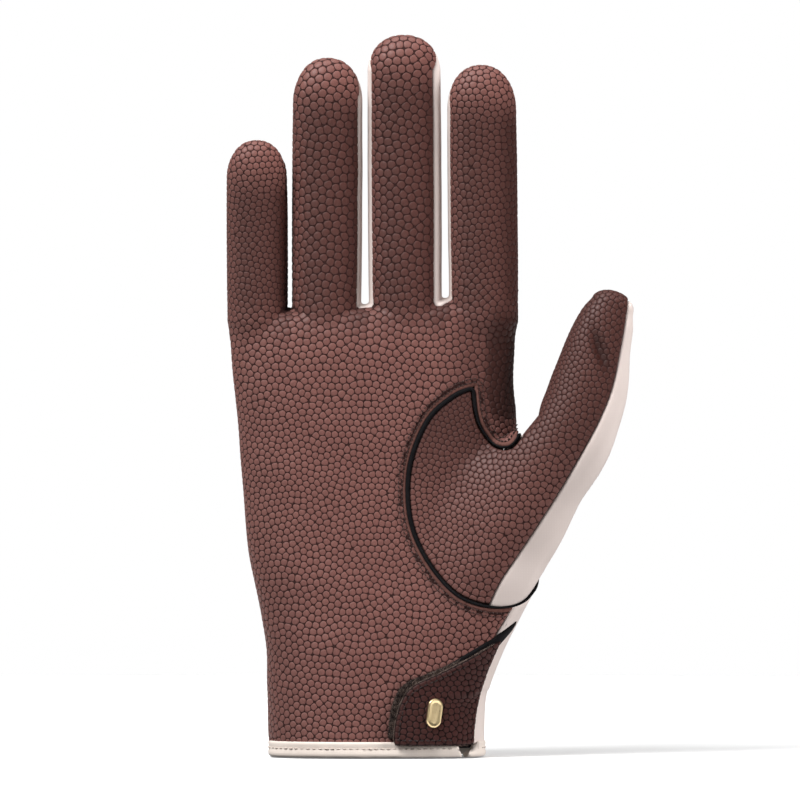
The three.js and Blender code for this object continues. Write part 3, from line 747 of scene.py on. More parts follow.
def painted_shade_of(p):
    """How much painted shade darkens the scales where less light falls: more up the fingers
    and the thumb than in the palm and a little at the palm's lower left, and darkest, as a
    painted shadow, where the index finger's root turns in towards the thumb and in the crease."""
    x, z = p[:, 0], p[:, 2]
    deep = 0.1 + 0.8 * eased((x - 16) / 14) * eased((z - 100) / 14)
    deep += 0.3 * eased((-20 - x) / 12) * (1 - eased((z - 30) / 50))
    # painted shadow where the index finger's root turns in towards the thumb
    deep += 1.6 * eased((x - 32) / 6) * eased((z - 101) / 6) * (1 - eased((z - 122) / 24))
    for finger in finger_list:
        middle, _, half, _, _ = finger_at(finger, z)
        across = (x - middle) / half
        tip = palm_length + finger[0]
        one = eased((z - 122) / 22) * (1 - eased((z - tip + 20) / 13))
        # painted light and shade: the fingers' left sides lighter and their right sides darker, as
        # if lit from the left
        one *= 1.15 - 0.5 * eased((-across - 0.4) / 0.5) + 0.45 * eased((across - 0.4) / 0.5)
        here = (np.abs(across) < 1.15) & (z > 122)
        deep = np.where(here, np.maximum(one, deep * (z < 150)), deep)
    thumb = 0.36 + 0.66 * eased((z - 75) / 30) + 0.35 * eased((14 - thumb_front_side(p)) / 14)
    along, beside = by_crease(x, z)
    # painted shade in the crease at the thumb's upper joint
    thumb += 0.9 * np.exp(-((along / 6) ** 2) - (beside / 1.7) ** 2)
    return np.where(inside_thumb(p) > 0, thumb, deep)


def near_seeds(seeds, count):
    tree = KDTree(len(seeds))
    for i, seed in enumerate(seeds):
        tree.insert(seed, i)
    tree.balance()
    return np.array([[index for _, index, _ in tree.find_n(seed, count + 1)][1:] for seed in seeds])


def spread_evenly(seeds, spacing, inside, times=26):
    """Seeds push their neighbours away until they lie in even rows, within the panel."""
    for _ in range(times):
        step = seeds[:, None] - seeds[near_seeds(seeds, 7)]
        apart = np.maximum(np.linalg.norm(step, axis=2), 0.05)
        wanted = 1.12 * spacing(seeds)[:, None]
        push = np.maximum(1 - apart / wanted, 0)
        moved = onto_hand(seeds + 0.4 * (step * (push * wanted / apart)[:, :, None]).sum(1), 1)
        room, before = inside(moved), inside(seeds)
        held = (room < 0.5 * spacing(moved)) & (room < before)
        seeds = np.where(held[:, None], seeds, moved)
    return seeds


def sown_scales(sheet, edges, spacing, lift=0.0, rounds=8, pressed=None):
    """Low rounded scales over a panel, relaxed until they lie evenly, as one mesh."""
    points, faces = sheet
    corner = points[faces]
    area = np.linalg.norm(
        np.cross(corner[:, 1] - corner[:, 0], corner[:, 2] - corner[:, 0]), axis=1
    ) / 2
    weight = area / spacing(corner.mean(1)) ** 2
    wanted = int(weight.sum() / 0.866)
    chosen = random.choice(len(faces), 24 * wanted, p=weight / weight.sum())
    u, v = random.random((2, len(chosen), 1))
    u, v = np.where(u + v > 1, 1 - u, u), np.where(u + v > 1, 1 - v, v)
    samples = corner[chosen, 0] * (1 - u - v) + corner[chosen, 1] * u + corner[chosen, 2] * v
    gaps = spacing(samples) * 0.74
    taken, seeds = {}, []
    for place, gap in zip(samples[: 14 * wanted].tolist(), gaps):
        x, y, z = (int(c // 3.2) for c in place)
        near = [
            q for a in (x - 1, x, x + 1) for b in (y - 1, y, y + 1) for c in (z - 1, z, z + 1)
            for q in taken.get((a, b, c), ())
        ]
        if all(
            (place[0] - q[0]) ** 2 + (place[1] - q[1]) ** 2 + (place[2] - q[2]) ** 2 > gap * gap
            for q in near
        ):
            taken.setdefault((x, y, z), []).append(place)
            seeds.append(place)
    seeds = np.array(seeds)
    for _ in range(rounds):
        tree = KDTree(len(seeds))
        for i, seed in enumerate(seeds):
            tree.insert(seed, i)
        tree.balance()
        owner = np.array([tree.find(place)[1] for place in samples])
        count = np.maximum(np.bincount(owner, minlength=len(seeds)), 1)
        seeds = np.stack(
            [np.bincount(owner, samples[:, i], len(seeds)) / count for i in range(3)], 1
        )

    def inside(p):
        return np.minimum.reduce([field(p) for field, width, sink in edges])

    seeds = spread_evenly(onto_hand(seeds, 2), spacing, inside)
    normal = outward(seeds)
    near = near_seeds(seeds, 10)
    first = np.cross(normal, np.array([0.12, 0.2, 1.0]))
    first /= np.linalg.norm(first, axis=1)[:, None]
    second = np.cross(normal, first)
    step = seeds[near] - seeds[:, None]
    flat = np.stack([(step * first[:, None]).sum(2), (step * second[:, None]).sum(2)], 2)
    apart = np.linalg.norm(step, axis=2)
    flat /= np.maximum(np.linalg.norm(flat, axis=2), 1e-6)[:, :, None]
    sides = 12
    turn = np.arange(sides) / sides * 2 * np.pi
    way = np.stack([np.cos(turn), np.sin(turn)], 1)
    facing = np.maximum((flat[:, None] * way[None, :, None]).sum(3), 0)
    roundness = 6
    near_sides = ((facing / (apart[:, None] / 2)) ** roundness).sum(2)
    reach = np.maximum(near_sides, 1e-6) ** (-1 / roundness)
    reach = np.minimum(reach, 0.75 * spacing(seeds)[:, None])
    spoke = way[None, :, :1] * first[:, None] + way[None, :, 1:] * second[:, None]
    rim = (seeds[:, None] + reach[:, :, None] * spoke).reshape(-1, 3)
    margin = 0.2
    at_seed, at_rim = inside(seeds)[:, None], inside(rim).reshape(reach.shape)
    room = np.where(
        at_rim < margin, (at_seed - margin) / np.maximum(at_seed - at_rim, 1e-6), 1
    )
    reach = reach * np.clip(room, 0.05, 1)
    sound = (at_seed[:, 0] > margin + 0.1) & (reach.mean(1) > 0.4) & (reach.min(1) > 0.15)
    bend = (outward(onto_hand(rim, 1)).reshape(len(seeds), sides, 3) * normal[:, None]).sum(2)
    sound &= bend.min(1) > 0.35
    seeds, reach, spoke = seeds[sound], reach[sound], spoke[sound]
    size = reach.mean(1)[:, None]
    # inwards, share of the rest, height as a share of the size
    rings = [(0.02, 1.0, -0.13, 0.0), (0.08, 1.0, 0.05, 0.25), (0.08, 0.82, 0.11, 0.7),
             (0.08, 0.45, 0.14, 1.0)]
    layers, heights, crowns = [], [], []
    for inset, share, height, crown in rings:
        out = np.maximum(reach - inset, 0.05) * share
        layers.append(seeds[:, None] + out[:, :, None] * spoke)
        heights.append(np.broadcast_to(height * size, out.shape))
        crowns.append(np.full(out.shape, crown))
    layers.append(seeds[:, None])
    heights.append(0.148 * size)
    crowns.append(np.ones(size.shape))
    p = np.concatenate(layers, 1)
    height, crown = np.concatenate(heights, 1), np.concatenate(crowns, 1)
    each = p.shape[1]
    tone = np.repeat(random.random(len(seeds)), each)
    around = np.arange(sides)
    after = (around + 1) % sides
    one = [
        np.concatenate([
            np.stack([around + k, after + k, after + k + sides], 1),
            np.stack([around + k, after + k + sides, around + k + sides], 1),
        ])
        for k in range(0, sides * (len(rings) - 1), sides)
    ]
    top = sides * (len(rings) - 1)
    one.append(np.stack([around + top, after + top, np.full(sides, each - 1)], 1))
    one = np.concatenate(one)
    scale_faces = (one[None] + (np.arange(len(seeds)) * each)[:, None, None]).reshape(-1, 3)
    p = onto_hand(p.reshape(-1, 3), 1)
    # each scale takes its amount of painted shade from where its seed lies
    painted_shade = np.repeat(painted_shade_of(seeds), each)
    raised = height.ravel() * (pressed(p) if pressed else 1)
    raised = raised + (lift(p) if callable(lift) else lift) - edge_sink(p, edges) * 0.8
    p = p + outward(p) * raised[:, None]
    return p, scale_faces, {"tone": tone, "crown": crown.ravel(), "painted_shade": painted_shade}, seeds


# The palm: one piece of brown embossed leather from the wrist to the four fingertips,
# turned in along the sides of the fingers, cut out round the thumb in a keyhole whose
# folded edge is top-stitched, and open at the slit beside the wrist.
leather_wall = 1.2
hem_height = 4.6


def above_hem(p):
    return p[:, 2] - (hem_height - 0.6)


def outside_keyhole(p):
    return -inside_thumb(p)


palm_edges = [
    (before_palm_seam, 1.1, 0.7), (outside_keyhole, 0.7, 0.45), (left_of_palm_slit, 0.8, 0.5),
    (above_hem, 0.8, 0.4),
]
palm_sheet = cut_panel(palm_edges)
stitch_rows = (1.35, 2.5)
for level in (1.0, 1.3, 1.6):
    palm_sheet = split(*palm_sheet, outside_keyhole, level)
palm_out = outward(palm_sheet[0])
from_keyhole = outside_keyhole(palm_sheet[0])
on_fold = eased((1.3 - from_keyhole) / 0.35)
palm_top = palm_sheet[0] + palm_out * (
    0.16 * on_fold - edge_sink(palm_sheet[0], palm_edges)
)[:, None]
palm_inner = palm_sheet[0] - palm_out * leather_wall
palm = to_piece(
    "palm_leather", *thickened(*palm_sheet, palm_top, palm_inner), brown_ground, "palm_leather",
    {"fold": np.tile(on_fold, 2)},
)
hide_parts("palm")


def palm_spacing(p):
    size = np.interp(
        p[:, 2], (0, 40, 65, 90, 105, 125, 160, 230),
        (2.15, 2.25, 2.1, 2.0, 2.1, 2.35, 2.6, 2.7),
    )
    up = eased((p[:, 2] - 125) / 20)
    little, index = eased((-24 - p[:, 0]) / 6) * up, eased((p[:, 0] - 20) / 6) * up
    return size * (1 - 0.24 * little - 0.18 * index)


def pressed_by_stitches(p):
    return 1 - 0.6 * eased((3.4 - outside_keyhole(p)) / 0.8)


palm_scale_edges = [
    (lambda p: outside_keyhole(p) - 1.0, 0.2, 0.0) if field is outside_keyhole
    else (field, width, sink)
    for field, width, sink in palm_edges
]
scale_points, scale_faces, scale_marks, scale_seeds = sown_scales(
    palm_sheet, palm_scale_edges, palm_spacing, pressed=pressed_by_stitches
)
each_scale = len(scale_points) // len(scale_seeds)
on_fingers = scale_seeds[:, 2] > palm_length - 2
for name, chosen in (("palm_scales", ~on_fingers), ("finger_scales", on_fingers)):
    rows = np.repeat(chosen, each_scale)
    number = np.cumsum(rows) - 1
    faces = number[scale_faces[rows[scale_faces[:, 0]]]]
    to_piece(
        name, scale_points[rows], faces, brown_scales, "palm_leather",
        {mark: values[rows] for mark, values in scale_marks.items()},
    )

# The back: cream stretch cloth over the back of the hand and the fingers, wrapped round
# the thumb side of the wrist as far as the slit.
def knit_cloth(name, dark, pale):
    material, start, place, surface = finish(name)
    across, along = (
        start.node(
            "ShaderNodeTexWave", {"bands_direction": way},
            {"Vector": place, "Scale": 620.0, "Distortion": 0.8, "Detail": 1.0},
        )
        for way in "XZ"
    )
    cloud = start.node("ShaderNodeTexNoise", {}, {"Vector": place, "Scale": 60.0, "Detail": 3.0})
    knit = across * along
    surface(
        Base_Color=(cloud * 0.85 + knit * 0.15).mixed(dark, pale),
        Roughness=cloud.span(0.3, 0.7, 0.78, 0.9),
        Specular_IOR_Level=0.2,
        Sheen_Weight=0.3,
        Sheen_Roughness=0.4,
        Normal=start.node(
            "ShaderNodeBump", {}, {"Strength": 0.2, "Distance": 0.00008, "Height": knit}
        ),
    )
    return material


cream_cloth = knit_cloth("cream_stretch_cloth", colour(222, 206, 199), colour(240, 226, 220))


def behind_palm(p):
    behind = np.maximum(-before_back_seam(p), -left_of_back_slit(p))
    return np.where(p[:, 2] > crotch[1], -before_back_seam(p), behind)


def panel_piece(name, edges, finish_, slot, node):
    sheet = cut_panel(edges)
    out = outward(sheet[0])
    top = sheet[0] - out * edge_sink(sheet[0], edges)[:, None]
    inner = sheet[0] - out * leather_wall
    piece = to_piece(name, *thickened(*sheet, top, inner), finish_, slot)
    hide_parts(node)
    return sheet


panel_piece(
    "back_cloth",
    [(behind_palm, 1.1, 0.7), (outside_keyhole, 1.1, 0.7), (above_hem, 0.8, 0.4)],
    cream_cloth, "cream_stretch", "back",
)

# The strips between the fingers: brown leather between the little and ring fingers, the
# cream cloth between the others, sewn in along both edges.
def strip_edges(left, right):
    low = finger_list[left][3] * palm_width + 0.3
    high = finger_list[right][3] * palm_width - 0.3

    def between_fingers(p):
        return np.minimum(p[:, 0] - low, high - p[:, 0])

    return [
        (lambda p: -before_palm_seam(p), 1.0, 0.6), (before_back_seam, 1.0, 0.6),
        (between_fingers, 0.8, 0.0), (lambda p: p[:, 2] - (palm_length - 10), 0.8, 0.0),
    ]


brown_strip = strip_edges(0, 1)
brown_strip_sheet = panel_piece(
    "little_ring_strip", brown_strip, brown_ground, "palm_leather", "fourchette_little_ring"
)
strip_points, strip_faces, strip_marks, _ = sown_scales(
    brown_strip_sheet, brown_strip, lambda p: np.full(len(p), 2.3)
)
to_piece(
    "little_ring_strip_scales", strip_points, strip_faces, brown_scales, "palm_leather",
    strip_marks,
)
for name, left in (("ring_middle", 1), ("middle_index", 2)):
    panel_piece(
        f"{name}_strip", strip_edges(left, left + 1), cream_cloth, "cream_stretch",
        f"fourchette_{name}",
    )

# The thumb: a brown leather front set into the keyhole and a cream back that wraps
# round its outer side, joined by a plain seam.
thumb_front_edges = [
    (lambda p: inside_thumb(p) - 0.9, 1.0, 0.6), (thumb_front_side, 1.0, 0.65),
]
thumb_front_sheet = panel_piece(
    "thumb_leather", thumb_front_edges, brown_ground, "palm_leather", "thumb_front"
)


def thumb_spacing(p):
    from_side = np.interp(p[:, 2], thumb_side_line[:, 1], thumb_side_line[:, 0]) - p[:, 0]
    low = np.interp(from_side, (3, 16, 30), (2.6, 2.0, 1.9))
    high = np.interp(from_side, (3, 8, 14), (2.3, 1.9, 1.65))
    return low + (high - low) * eased((p[:, 2] - 95) / 20)


thumb_points, thumb_faces, thumb_marks, _ = sown_scales(
    thumb_front_sheet, thumb_front_edges, thumb_spacing
)
to_piece("thumb_scales", thumb_points, thumb_faces, brown_scales, "palm_leather", thumb_marks)
panel_piece(
    "thumb_cloth",
    [(lambda p: inside_thumb(p) - 0.3, 1.0, 0.6), (lambda p: -thumb_front_side(p), 1.0, 0.65)],
    cream_cloth, "cream_stretch", "thumb_back",
)


# The keyhole's edge: a black cord of bound elastic that shows between the palm's folded
# edge and the thumb, and two rows of brown thread that hold the fold down.
def run_along(field, level, others=(), pitch=0.8, smooth=6):
    """Evenly spaced points along a field's level on the skin, where all others are
    positive."""
    points, faces = skin
    near = np.abs(field(points) - level) < 3
    points, faces = used_points(points, faces[near[faces].all(1)])
    for other in others:
        points, faces = split(points, faces, other, 0, cut=True)
    value = field(points) - level
    above = value > 0
    mixed = above[faces].any(1) & ~above[faces].all(1)
    links = {}
    for a, b, c in faces[mixed].tolist():
        one, two = [
            (min(e), max(e)) for e in ((a, b), (b, c), (c, a)) if above[e[0]] != above[e[1]]
        ]
        links.setdefault(one, []).append(two)
        links.setdefault(two, []).append(one)
    left, runs = set(links), []
    while left:
        here = min((key for key in left if len(links[key]) == 1), default=min(left))
        chain = []
        while here is not None:
            left.discard(here)
            chain.append(here)
            here = next((key for key in links[here] if key in left), None)
        runs.append(chain)
    edges = np.array(max(runs, key=len))
    t = value[edges[:, 0]] / (value[edges[:, 0]] - value[edges[:, 1]])
    line = points[edges[:, 0]] + t[:, None] * (points[edges[:, 1]] - points[edges[:, 0]])
    for _ in range(smooth):
        line[1:-1] += 0.5 * ((line[:-2] + line[2:]) / 2 - line[1:-1])
    return evenly(line, pitch)


def evenly(line, pitch):
    way = np.concatenate([[0], np.cumsum(np.linalg.norm(np.diff(line, axis=0), axis=1))])
    places = np.linspace(0, way[-1], max(int(way[-1] / pitch), 2) + 1)
    return np.stack([np.interp(places, way, line[:, i]) for i in range(3)], 1)


def frames_along(line):
    along = np.gradient(line, axis=0)
    along /= np.linalg.norm(along, axis=1)[:, None]
    out = outward(onto_hand(line, 2))
    out -= (out * along).sum(1)[:, None] * along
    out /= np.linalg.norm(out, axis=1)[:, None]
    return along, out, np.cross(along, out)


def joined(parts):
    points, faces, count = [], [], 0
    for p, f in parts:
        points.append(p)
        faces.append(f + count)
        count += len(p)
    return np.vstack(points), np.vstack(faces)


def ring_faces(rings, sides, closed=False):
    around = np.arange(sides)
    after = (around + 1) % sides
    faces = []
    for k in range(0, sides * (rings - 1), sides):
        faces.append(np.stack([around + k, after + k, after + k + sides], 1))
        faces.append(np.stack([around + k, after + k + sides, around + k + sides], 1))
    if not closed:
        last = sides * (rings - 1)
        fan = np.arange(1, sides - 1)
        faces.append(np.stack([np.zeros_like(fan), fan + 1, fan], 1))
        faces.append(np.stack([np.full_like(fan, last), last + fan, last + fan + 1], 1))
    return np.concatenate(faces)


def tube(line, wide, high, lift, sides=10):
    """A cord of oval section lying on the skin along a line, as wide as given at each point."""
    along, out, beside = frames_along(line)
    base = onto_hand(line, 2)
    turn = np.arange(sides) / sides * 2 * np.pi
    end = np.minimum(np.arange(len(line)), np.arange(len(line))[::-1])
    taper = np.clip(0.35 + 0.35 * end, 0, 1)[:, None, None]
    ring = base[:, None] + taper * (
        (np.sin(turn) * high)[None, :, None] * out[:, None]
        + (wide[:, None] * np.cos(turn))[:, :, None] * beside[:, None]
    ) + lift * out[:, None]
    return ring.reshape(-1, 3), ring_faces(len(line), sides)[:, ::-1]


def stitched(line, pitch, length, thick, lift):
    """A row of thread stitches, each dipping into the leather at both ends."""
    line = evenly(line, pitch)
    along, out, beside = frames_along(line)
    middle = onto_hand(line, 2) + out * lift
    turn = np.arange(6) / 6 * 2 * np.pi
    # place along the stitch, thickness and height, as shares of its half length and thick
    rows = [
        (-1.0, 0.3, -1.3), (-0.8, 0.8, -0.2), (0.0, 1.0, 0.4), (0.8, 0.8, -0.2),
        (1.0, 0.3, -1.3),
    ]
    rings = [
        middle[:, None] + place * length / 2 * along[:, None]
        + ((np.sin(turn) * size + height) * thick)[None, :, None] * out[:, None]
        + (np.cos(turn) * size * thick)[None, :, None] * beside[:, None]
        for place, size, height in rows
    ]
    points = np.stack(rings, 1)
    one = ring_faces(len(rows), 6)[:, ::-1]
    each = len(rows) * 6
    faces = one[None] + (np.arange(len(line)) * each)[:, None, None]
    return points.reshape(-1, 3), faces.reshape(-1, 3)


def plain_cloth(name, dark, pale, scale=900.0, rough=(0.7, 0.9), sheen=0.2):
    material, start, place, surface = finish(name)
    fibre = start.node("ShaderNodeTexNoise", {}, {"Vector": place, "Scale": scale, "Detail": 4.0})
    surface(
        Base_Color=fibre.span(0.3, 0.7).mixed(dark, pale),
        Roughness=fibre.span(0.3, 0.7, *rough),
        Specular_IOR_Level=0.12,
        Sheen_Weight=sheen,
        Normal=start.node(
            "ShaderNodeBump", {}, {"Strength": 0.4, "Distance": 0.0001, "Height": fibre}
        ),
    )
    return material


black_cloth = plain_cloth("black_elastic", colour(7, 6, 7), colour(22, 20, 22), sheen=0.0)
brown_thread = plain_cloth("brown_thread", colour(34, 20, 18), colour(84, 56, 50), 1800.0)


def palmwards(p):
    return -2.0 - p[:, 1]


cord_line = run_along(inside_thumb, 0.35, [palmwards])
if cord_line[0, 2] < cord_line[-1, 2]:
    cord_line = cord_line[::-1]
cord_half_width = np.interp(
    np.linspace(0, 1, len(cord_line)),
    (0.00, 0.03, 0.08, 0.11, 0.20, 0.24, 0.30, 0.60, 0.75, 0.84, 0.91, 0.96, 1.00),
    (0.36, 0.50, 0.42, 0.30, 0.32, 0.55, 0.66, 0.66, 0.50, 0.38, 0.34, 0.50, 0.60),
)
keyhole_cord = to_piece(
    "keyhole_cord", *tube(cord_line, cord_half_width, 0.5, 0.0), black_cloth, "black_trim"
)
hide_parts("thumb_piping")
keyhole_rows = [
    stitched(
        run_along(outside_keyhole, row, [palmwards, lambda p: left_of_palm_slit(p) - 0.8]),
        1.3, 0.9, 0.19, 0.3,
    )
    for row in stitch_rows
]
to_piece("keyhole_stitches", *joined(keyhole_rows), brown_thread, "palm_leather")


# The wrist slit is backed by a black ribbed elastic, sewn inside both its edges, so that
# the cuff widens for the hand.
def within(field, reach):
    return lambda p: field(p) + reach


gusset_edges = [
    (lambda p: 4 - left_of_palm_slit(p), 0.8, 0.1), (within(left_of_back_slit, 4), 0.8, 0.1),
    (lambda p: p[:, 2] - 2.6, 0.8, 0.1), (lambda p: 46 - p[:, 2], 0.8, 0.1),
    (lambda p: -p[:, 1], 0.8, 0.0),
]
gusset_sheet = cut_panel(gusset_edges)
gusset_out = outward(gusset_sheet[0])
gusset_rib = 0.13 * np.sin((gusset_sheet[0][:, 0] - 0.45 * gusset_sheet[0][:, 2]) * 2 * np.pi / 1.9)
gusset_top = gusset_sheet[0] + gusset_out * (gusset_rib - 1.65)[:, None]
gusset = to_piece(
    "slit_elastic",
    *thickened(*gusset_sheet, gusset_top, gusset_sheet[0] - gusset_out * 2.5),
    black_cloth, "black_trim",
)
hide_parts("vent_gusset")

# The closure tab: dark brown embossed leather, sewn down along the side of the wrist and
# pressed on the pile patch, with thread along its free edges.
def closed_outline(rows):
    line = np.array(rows, float)
    line = np.vstack([line, line[:1]])
    return lambda p: inside_line(p, line, [])


def wrist_line(rows):
    return smooth_line(rows, wrist_width, tab_height, 4)


tab_outline = np.vstack([
    wrist_line(
        [(0.080, 0.095), (0.083, 0.230), (0.100, 0.370), (0.135, 0.500), (0.185, 0.575)]
    )[:-1],
    wrist_line([(0.185, 0.575), (0.320, 0.675), (0.430, 0.775), (0.560, 0.900), (0.625, 0.970)]),
    [(0.670 * wrist_width, 0.900 * tab_height), (0.640 * wrist_width, 0.095 * tab_height)],
])
patch_outline = np.vstack([
    wrist_line(
        [(0.050, 0.145), (0.055, 0.250), (0.070, 0.400), (0.105, 0.530), (0.160, 0.600)]
    )[:-1],
    wrist_line([(0.160, 0.600), (0.300, 0.690), (0.410, 0.780)])[:-1],
    wrist_line([(0.410, 0.780), (0.365, 0.500), (0.325, 0.145)]),
])
inside_tab, inside_patch = closed_outline(tab_outline), closed_outline(patch_outline)
patch_top, tab_foot, tab_top = 1.2, 1.5, 2.9
tab_drop, sewn_width = 1.7, 9
# height and X of the tab's edge along the side of the wrist
tab_side = np.array([
    (3, 29.6), (8, 29.8), (14, 30.5), (20, 31.7), (27, 34.0), (33, 36.6), (38, 38.8),
])


def before_tab_edge(p):
    return np.minimum(np.interp(p[:, 2], *tab_side.T) - p[:, 0], -1.0 - p[:, 1])


def sewn_down(p):
    """How far the tab lies down on the wrist, towards the side where it is sewn on."""
    return eased(1 - before_tab_edge(p) / sewn_width)


tab_ground = leather_ground("tab_ground", colour(20, 11, 11), colour(60, 36, 33))
# the last colour, that of the tab's painted shade, is its deep colour
tab_scales = leather_scales(
    "tab_scales", colour(54, 28, 25), colour(66, 36, 33), colour(26, 14, 13),
    colour(54, 28, 25), shine=0.2,
)
tab_edges = [(inside_tab, 0.8, 0.55), (before_tab_edge, 1.0, 0.9)]
tab_sheet = cut_panel(tab_edges)
tab_out = outward(tab_sheet[0])
tab_low = sewn_down(tab_sheet[0])
tab_under = np.where(before_tab_edge(tab_sheet[0]) < 2.6, 0.1, tab_foot - 1.2 * tab_low)
tab = to_piece(
    "tab_leather",
    *thickened(
        *tab_sheet,
        tab_sheet[0] + tab_out * (
            tab_top - tab_drop * tab_low - edge_sink(tab_sheet[0], tab_edges)
        )[:, None],
        tab_sheet[0] + tab_out * tab_under[:, None],
    ),
    tab_ground, "tab_leather",
)
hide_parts("closure_tab")
tab_scale_points, tab_scale_faces, tab_scale_marks, _ = sown_scales(
    tab_sheet, tab_edges, lambda p: np.full(len(p), 2.0),
    lift=lambda p: tab_top - tab_drop * sewn_down(p),
)
to_piece(
    "tab_scales", tab_scale_points, tab_scale_faces, tab_scales, "tab_leather", tab_scale_marks
)
dark_thread = plain_cloth("dark_thread", colour(24, 18, 18), colour(58, 42, 40), 1800.0)


def tab_foot_row(p):
    return p[:, 2] - 5.4


to_piece(
    "tab_stitches",
    *joined([
        stitched(
            run_along(tab_foot_row, 0, [within(inside_tab, -1.2), within(before_tab_edge, -8)]),
            1.6, 1.2, 0.2, tab_top + 0.2,
        ),
        stitched(
            run_along(inside_tab, 1.5, [within(before_tab_edge, -8), lambda p: p[:, 2] - 5.6]),
            1.6, 1.2, 0.17, tab_top + 0.2,
        ),
    ]),
    dark_thread, "tab_leather",
)

# The upper end of the slit's elastic shows above the tab as a black band that narrows to
# a point on the cream cloth.
band_outline = np.array([
    (43.7, 42.4), (36.3, 37.1), (30.1, 33.5), (24.2, 29.9), (17.4, 26.2), (13.3, 23.7),
    (17.4, 22.8), (30.1, 28.4), (36.6, 33.6), (38.7, 36.0), (41.2, 38.8),
])
band_edges = [(closed_outline(band_outline), 0.7, 0.3), (lambda p: -p[:, 1], 0.5, 0.0)]
band_sheet = cut_panel(band_edges, gap=0.02)
band_out = outward(band_sheet[0])
to_piece(
    "slit_elastic_top",
    *thickened(
        *band_sheet,
        band_sheet[0] + band_out * (0.75 - edge_sink(band_sheet[0], band_edges))[:, None],
        band_sheet[0] + band_out * 0.05,
    ),
    black_cloth, "black_trim",
)

# The pile patch is sewn on the palm under the tab. Its dark loops and some pale broken
# ones stand up and lean every way, and show as a fuzzy border round the tab.
patch_edges = [(inside_patch, 0.6, 0.25), (lambda p: -p[:, 1], 0.6, 0.0)]
patch_sheet = cut_panel(patch_edges)
patch_out = outward(patch_sheet[0])
patch_height = patch_top - 0.5 - edge_sink(patch_sheet[0], patch_edges)
pile_cloth = plain_cloth(
    "dark_pile", colour(22, 16, 15), colour(70, 58, 54), 500.0, (0.85, 0.95), 0.1
)
patch = to_piece(
    "pile_patch",
    *thickened(
        *patch_sheet, patch_sheet[0] + patch_out * patch_height[:, None],
        patch_sheet[0] + patch_out * 0.3,
    ),
    pile_cloth, "pile",
)
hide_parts("loop_patch")

pale_fibre = plain_cloth(
    "pale_pile", colour(84, 66, 60), colour(164, 142, 130), 500.0, (0.85, 0.95), 0.1
)


def hairs(root, rise, lean, length, thick):
    """Three-sided tapering fibres that rise from their roots and bend over."""
    beside = np.cross(rise, lean)
    beside /= np.linalg.norm(beside, axis=1)[:, None]
    across = np.cross(beside, rise)
    rings = []
    for place in (0.0, 0.4, 0.75, 1.0):
        centre = root + rise * length * (place - 0.35 * place**2) + lean * length * place**2
        for turn in (0, 2.1, 4.2):
            thin = thick * (1.05 - place * 0.75)
            rings.append(centre + thin * (math.cos(turn) * beside + math.sin(turn) * across))
    faces = ring_faces(4, 3)[None] + (np.arange(len(root)) * 12)[:, None, None]
    return np.stack(rings, 1).reshape(-1, 3), faces.reshape(-1, 3)


def leaning(out, spread):
    lean = random.normal(size=out.shape)
    return spread * (lean - (lean * out).sum(1)[:, None] * out)


def sown(sheet, count, chance):
    """Random points on a sheet, where chance is true of its faces' middles."""
    corner = sheet[0][sheet[1]]
    area = np.linalg.norm(
        np.cross(corner[:, 1] - corner[:, 0], corner[:, 2] - corner[:, 0]), axis=1
    ) * chance(corner.mean(1))
    chosen = random.choice(len(corner), count, p=area / area.sum())
    u, v = random.random((2, count, 1))
    u, v = np.where(u + v > 1, 1 - u, u), np.where(u + v > 1, 1 - v, v)
    return corner[chosen, 0] * (1 - u - v) + corner[chosen, 1] * u + corner[chosen, 2] * v


for name, count, cloth, thick in (
    ("pile_hairs", 3000, pile_cloth, 0.07), ("pile_pale_hairs", 1500, pale_fibre, 0.06)
):
    root = sown(patch_sheet, count, lambda p: inside_tab(p) < 1.2)
    out = outward(root)
    length = random.uniform(0.7, 1.7, count)[:, None]
    to_piece(name, *hairs(root + 0.5 * out, out, leaning(out, 0.5), length, thick), cloth, "pile")

# The tab's cut edge is raw: pale fibres of the leather's backing stand out along its
# free sides.
fibre_count = 2600
tab_rim = run_along(inside_tab, 0.15, [within(before_tab_edge, -2)], 0.8)
rim_step = random.integers(0, len(tab_rim) - 1, fibre_count)
rim_share = random.random((fibre_count, 1))
root = tab_rim[rim_step] * (1 - rim_share) + tab_rim[rim_step + 1] * rim_share
out = outward(root)
away = -slope_of(inside_tab, root)[1]
away -= (away * out).sum(1)[:, None] * out
away /= np.maximum(np.linalg.norm(away, axis=1), 0.01)[:, None]
rise = random.uniform(tab_foot - 0.3, tab_top - 0.5, len(root)) - 1.4 * sewn_down(root)
root = root + out * rise[:, None]
to_piece(
    "tab_fuzz",
    *hairs(
        root, 0.7 * away + 0.5 * out, leaning(away, 0.35),
        random.uniform(0.4, 1.1, (fibre_count, 1)), 0.045,
    ),
    pale_fibre, "tab_leather",
)

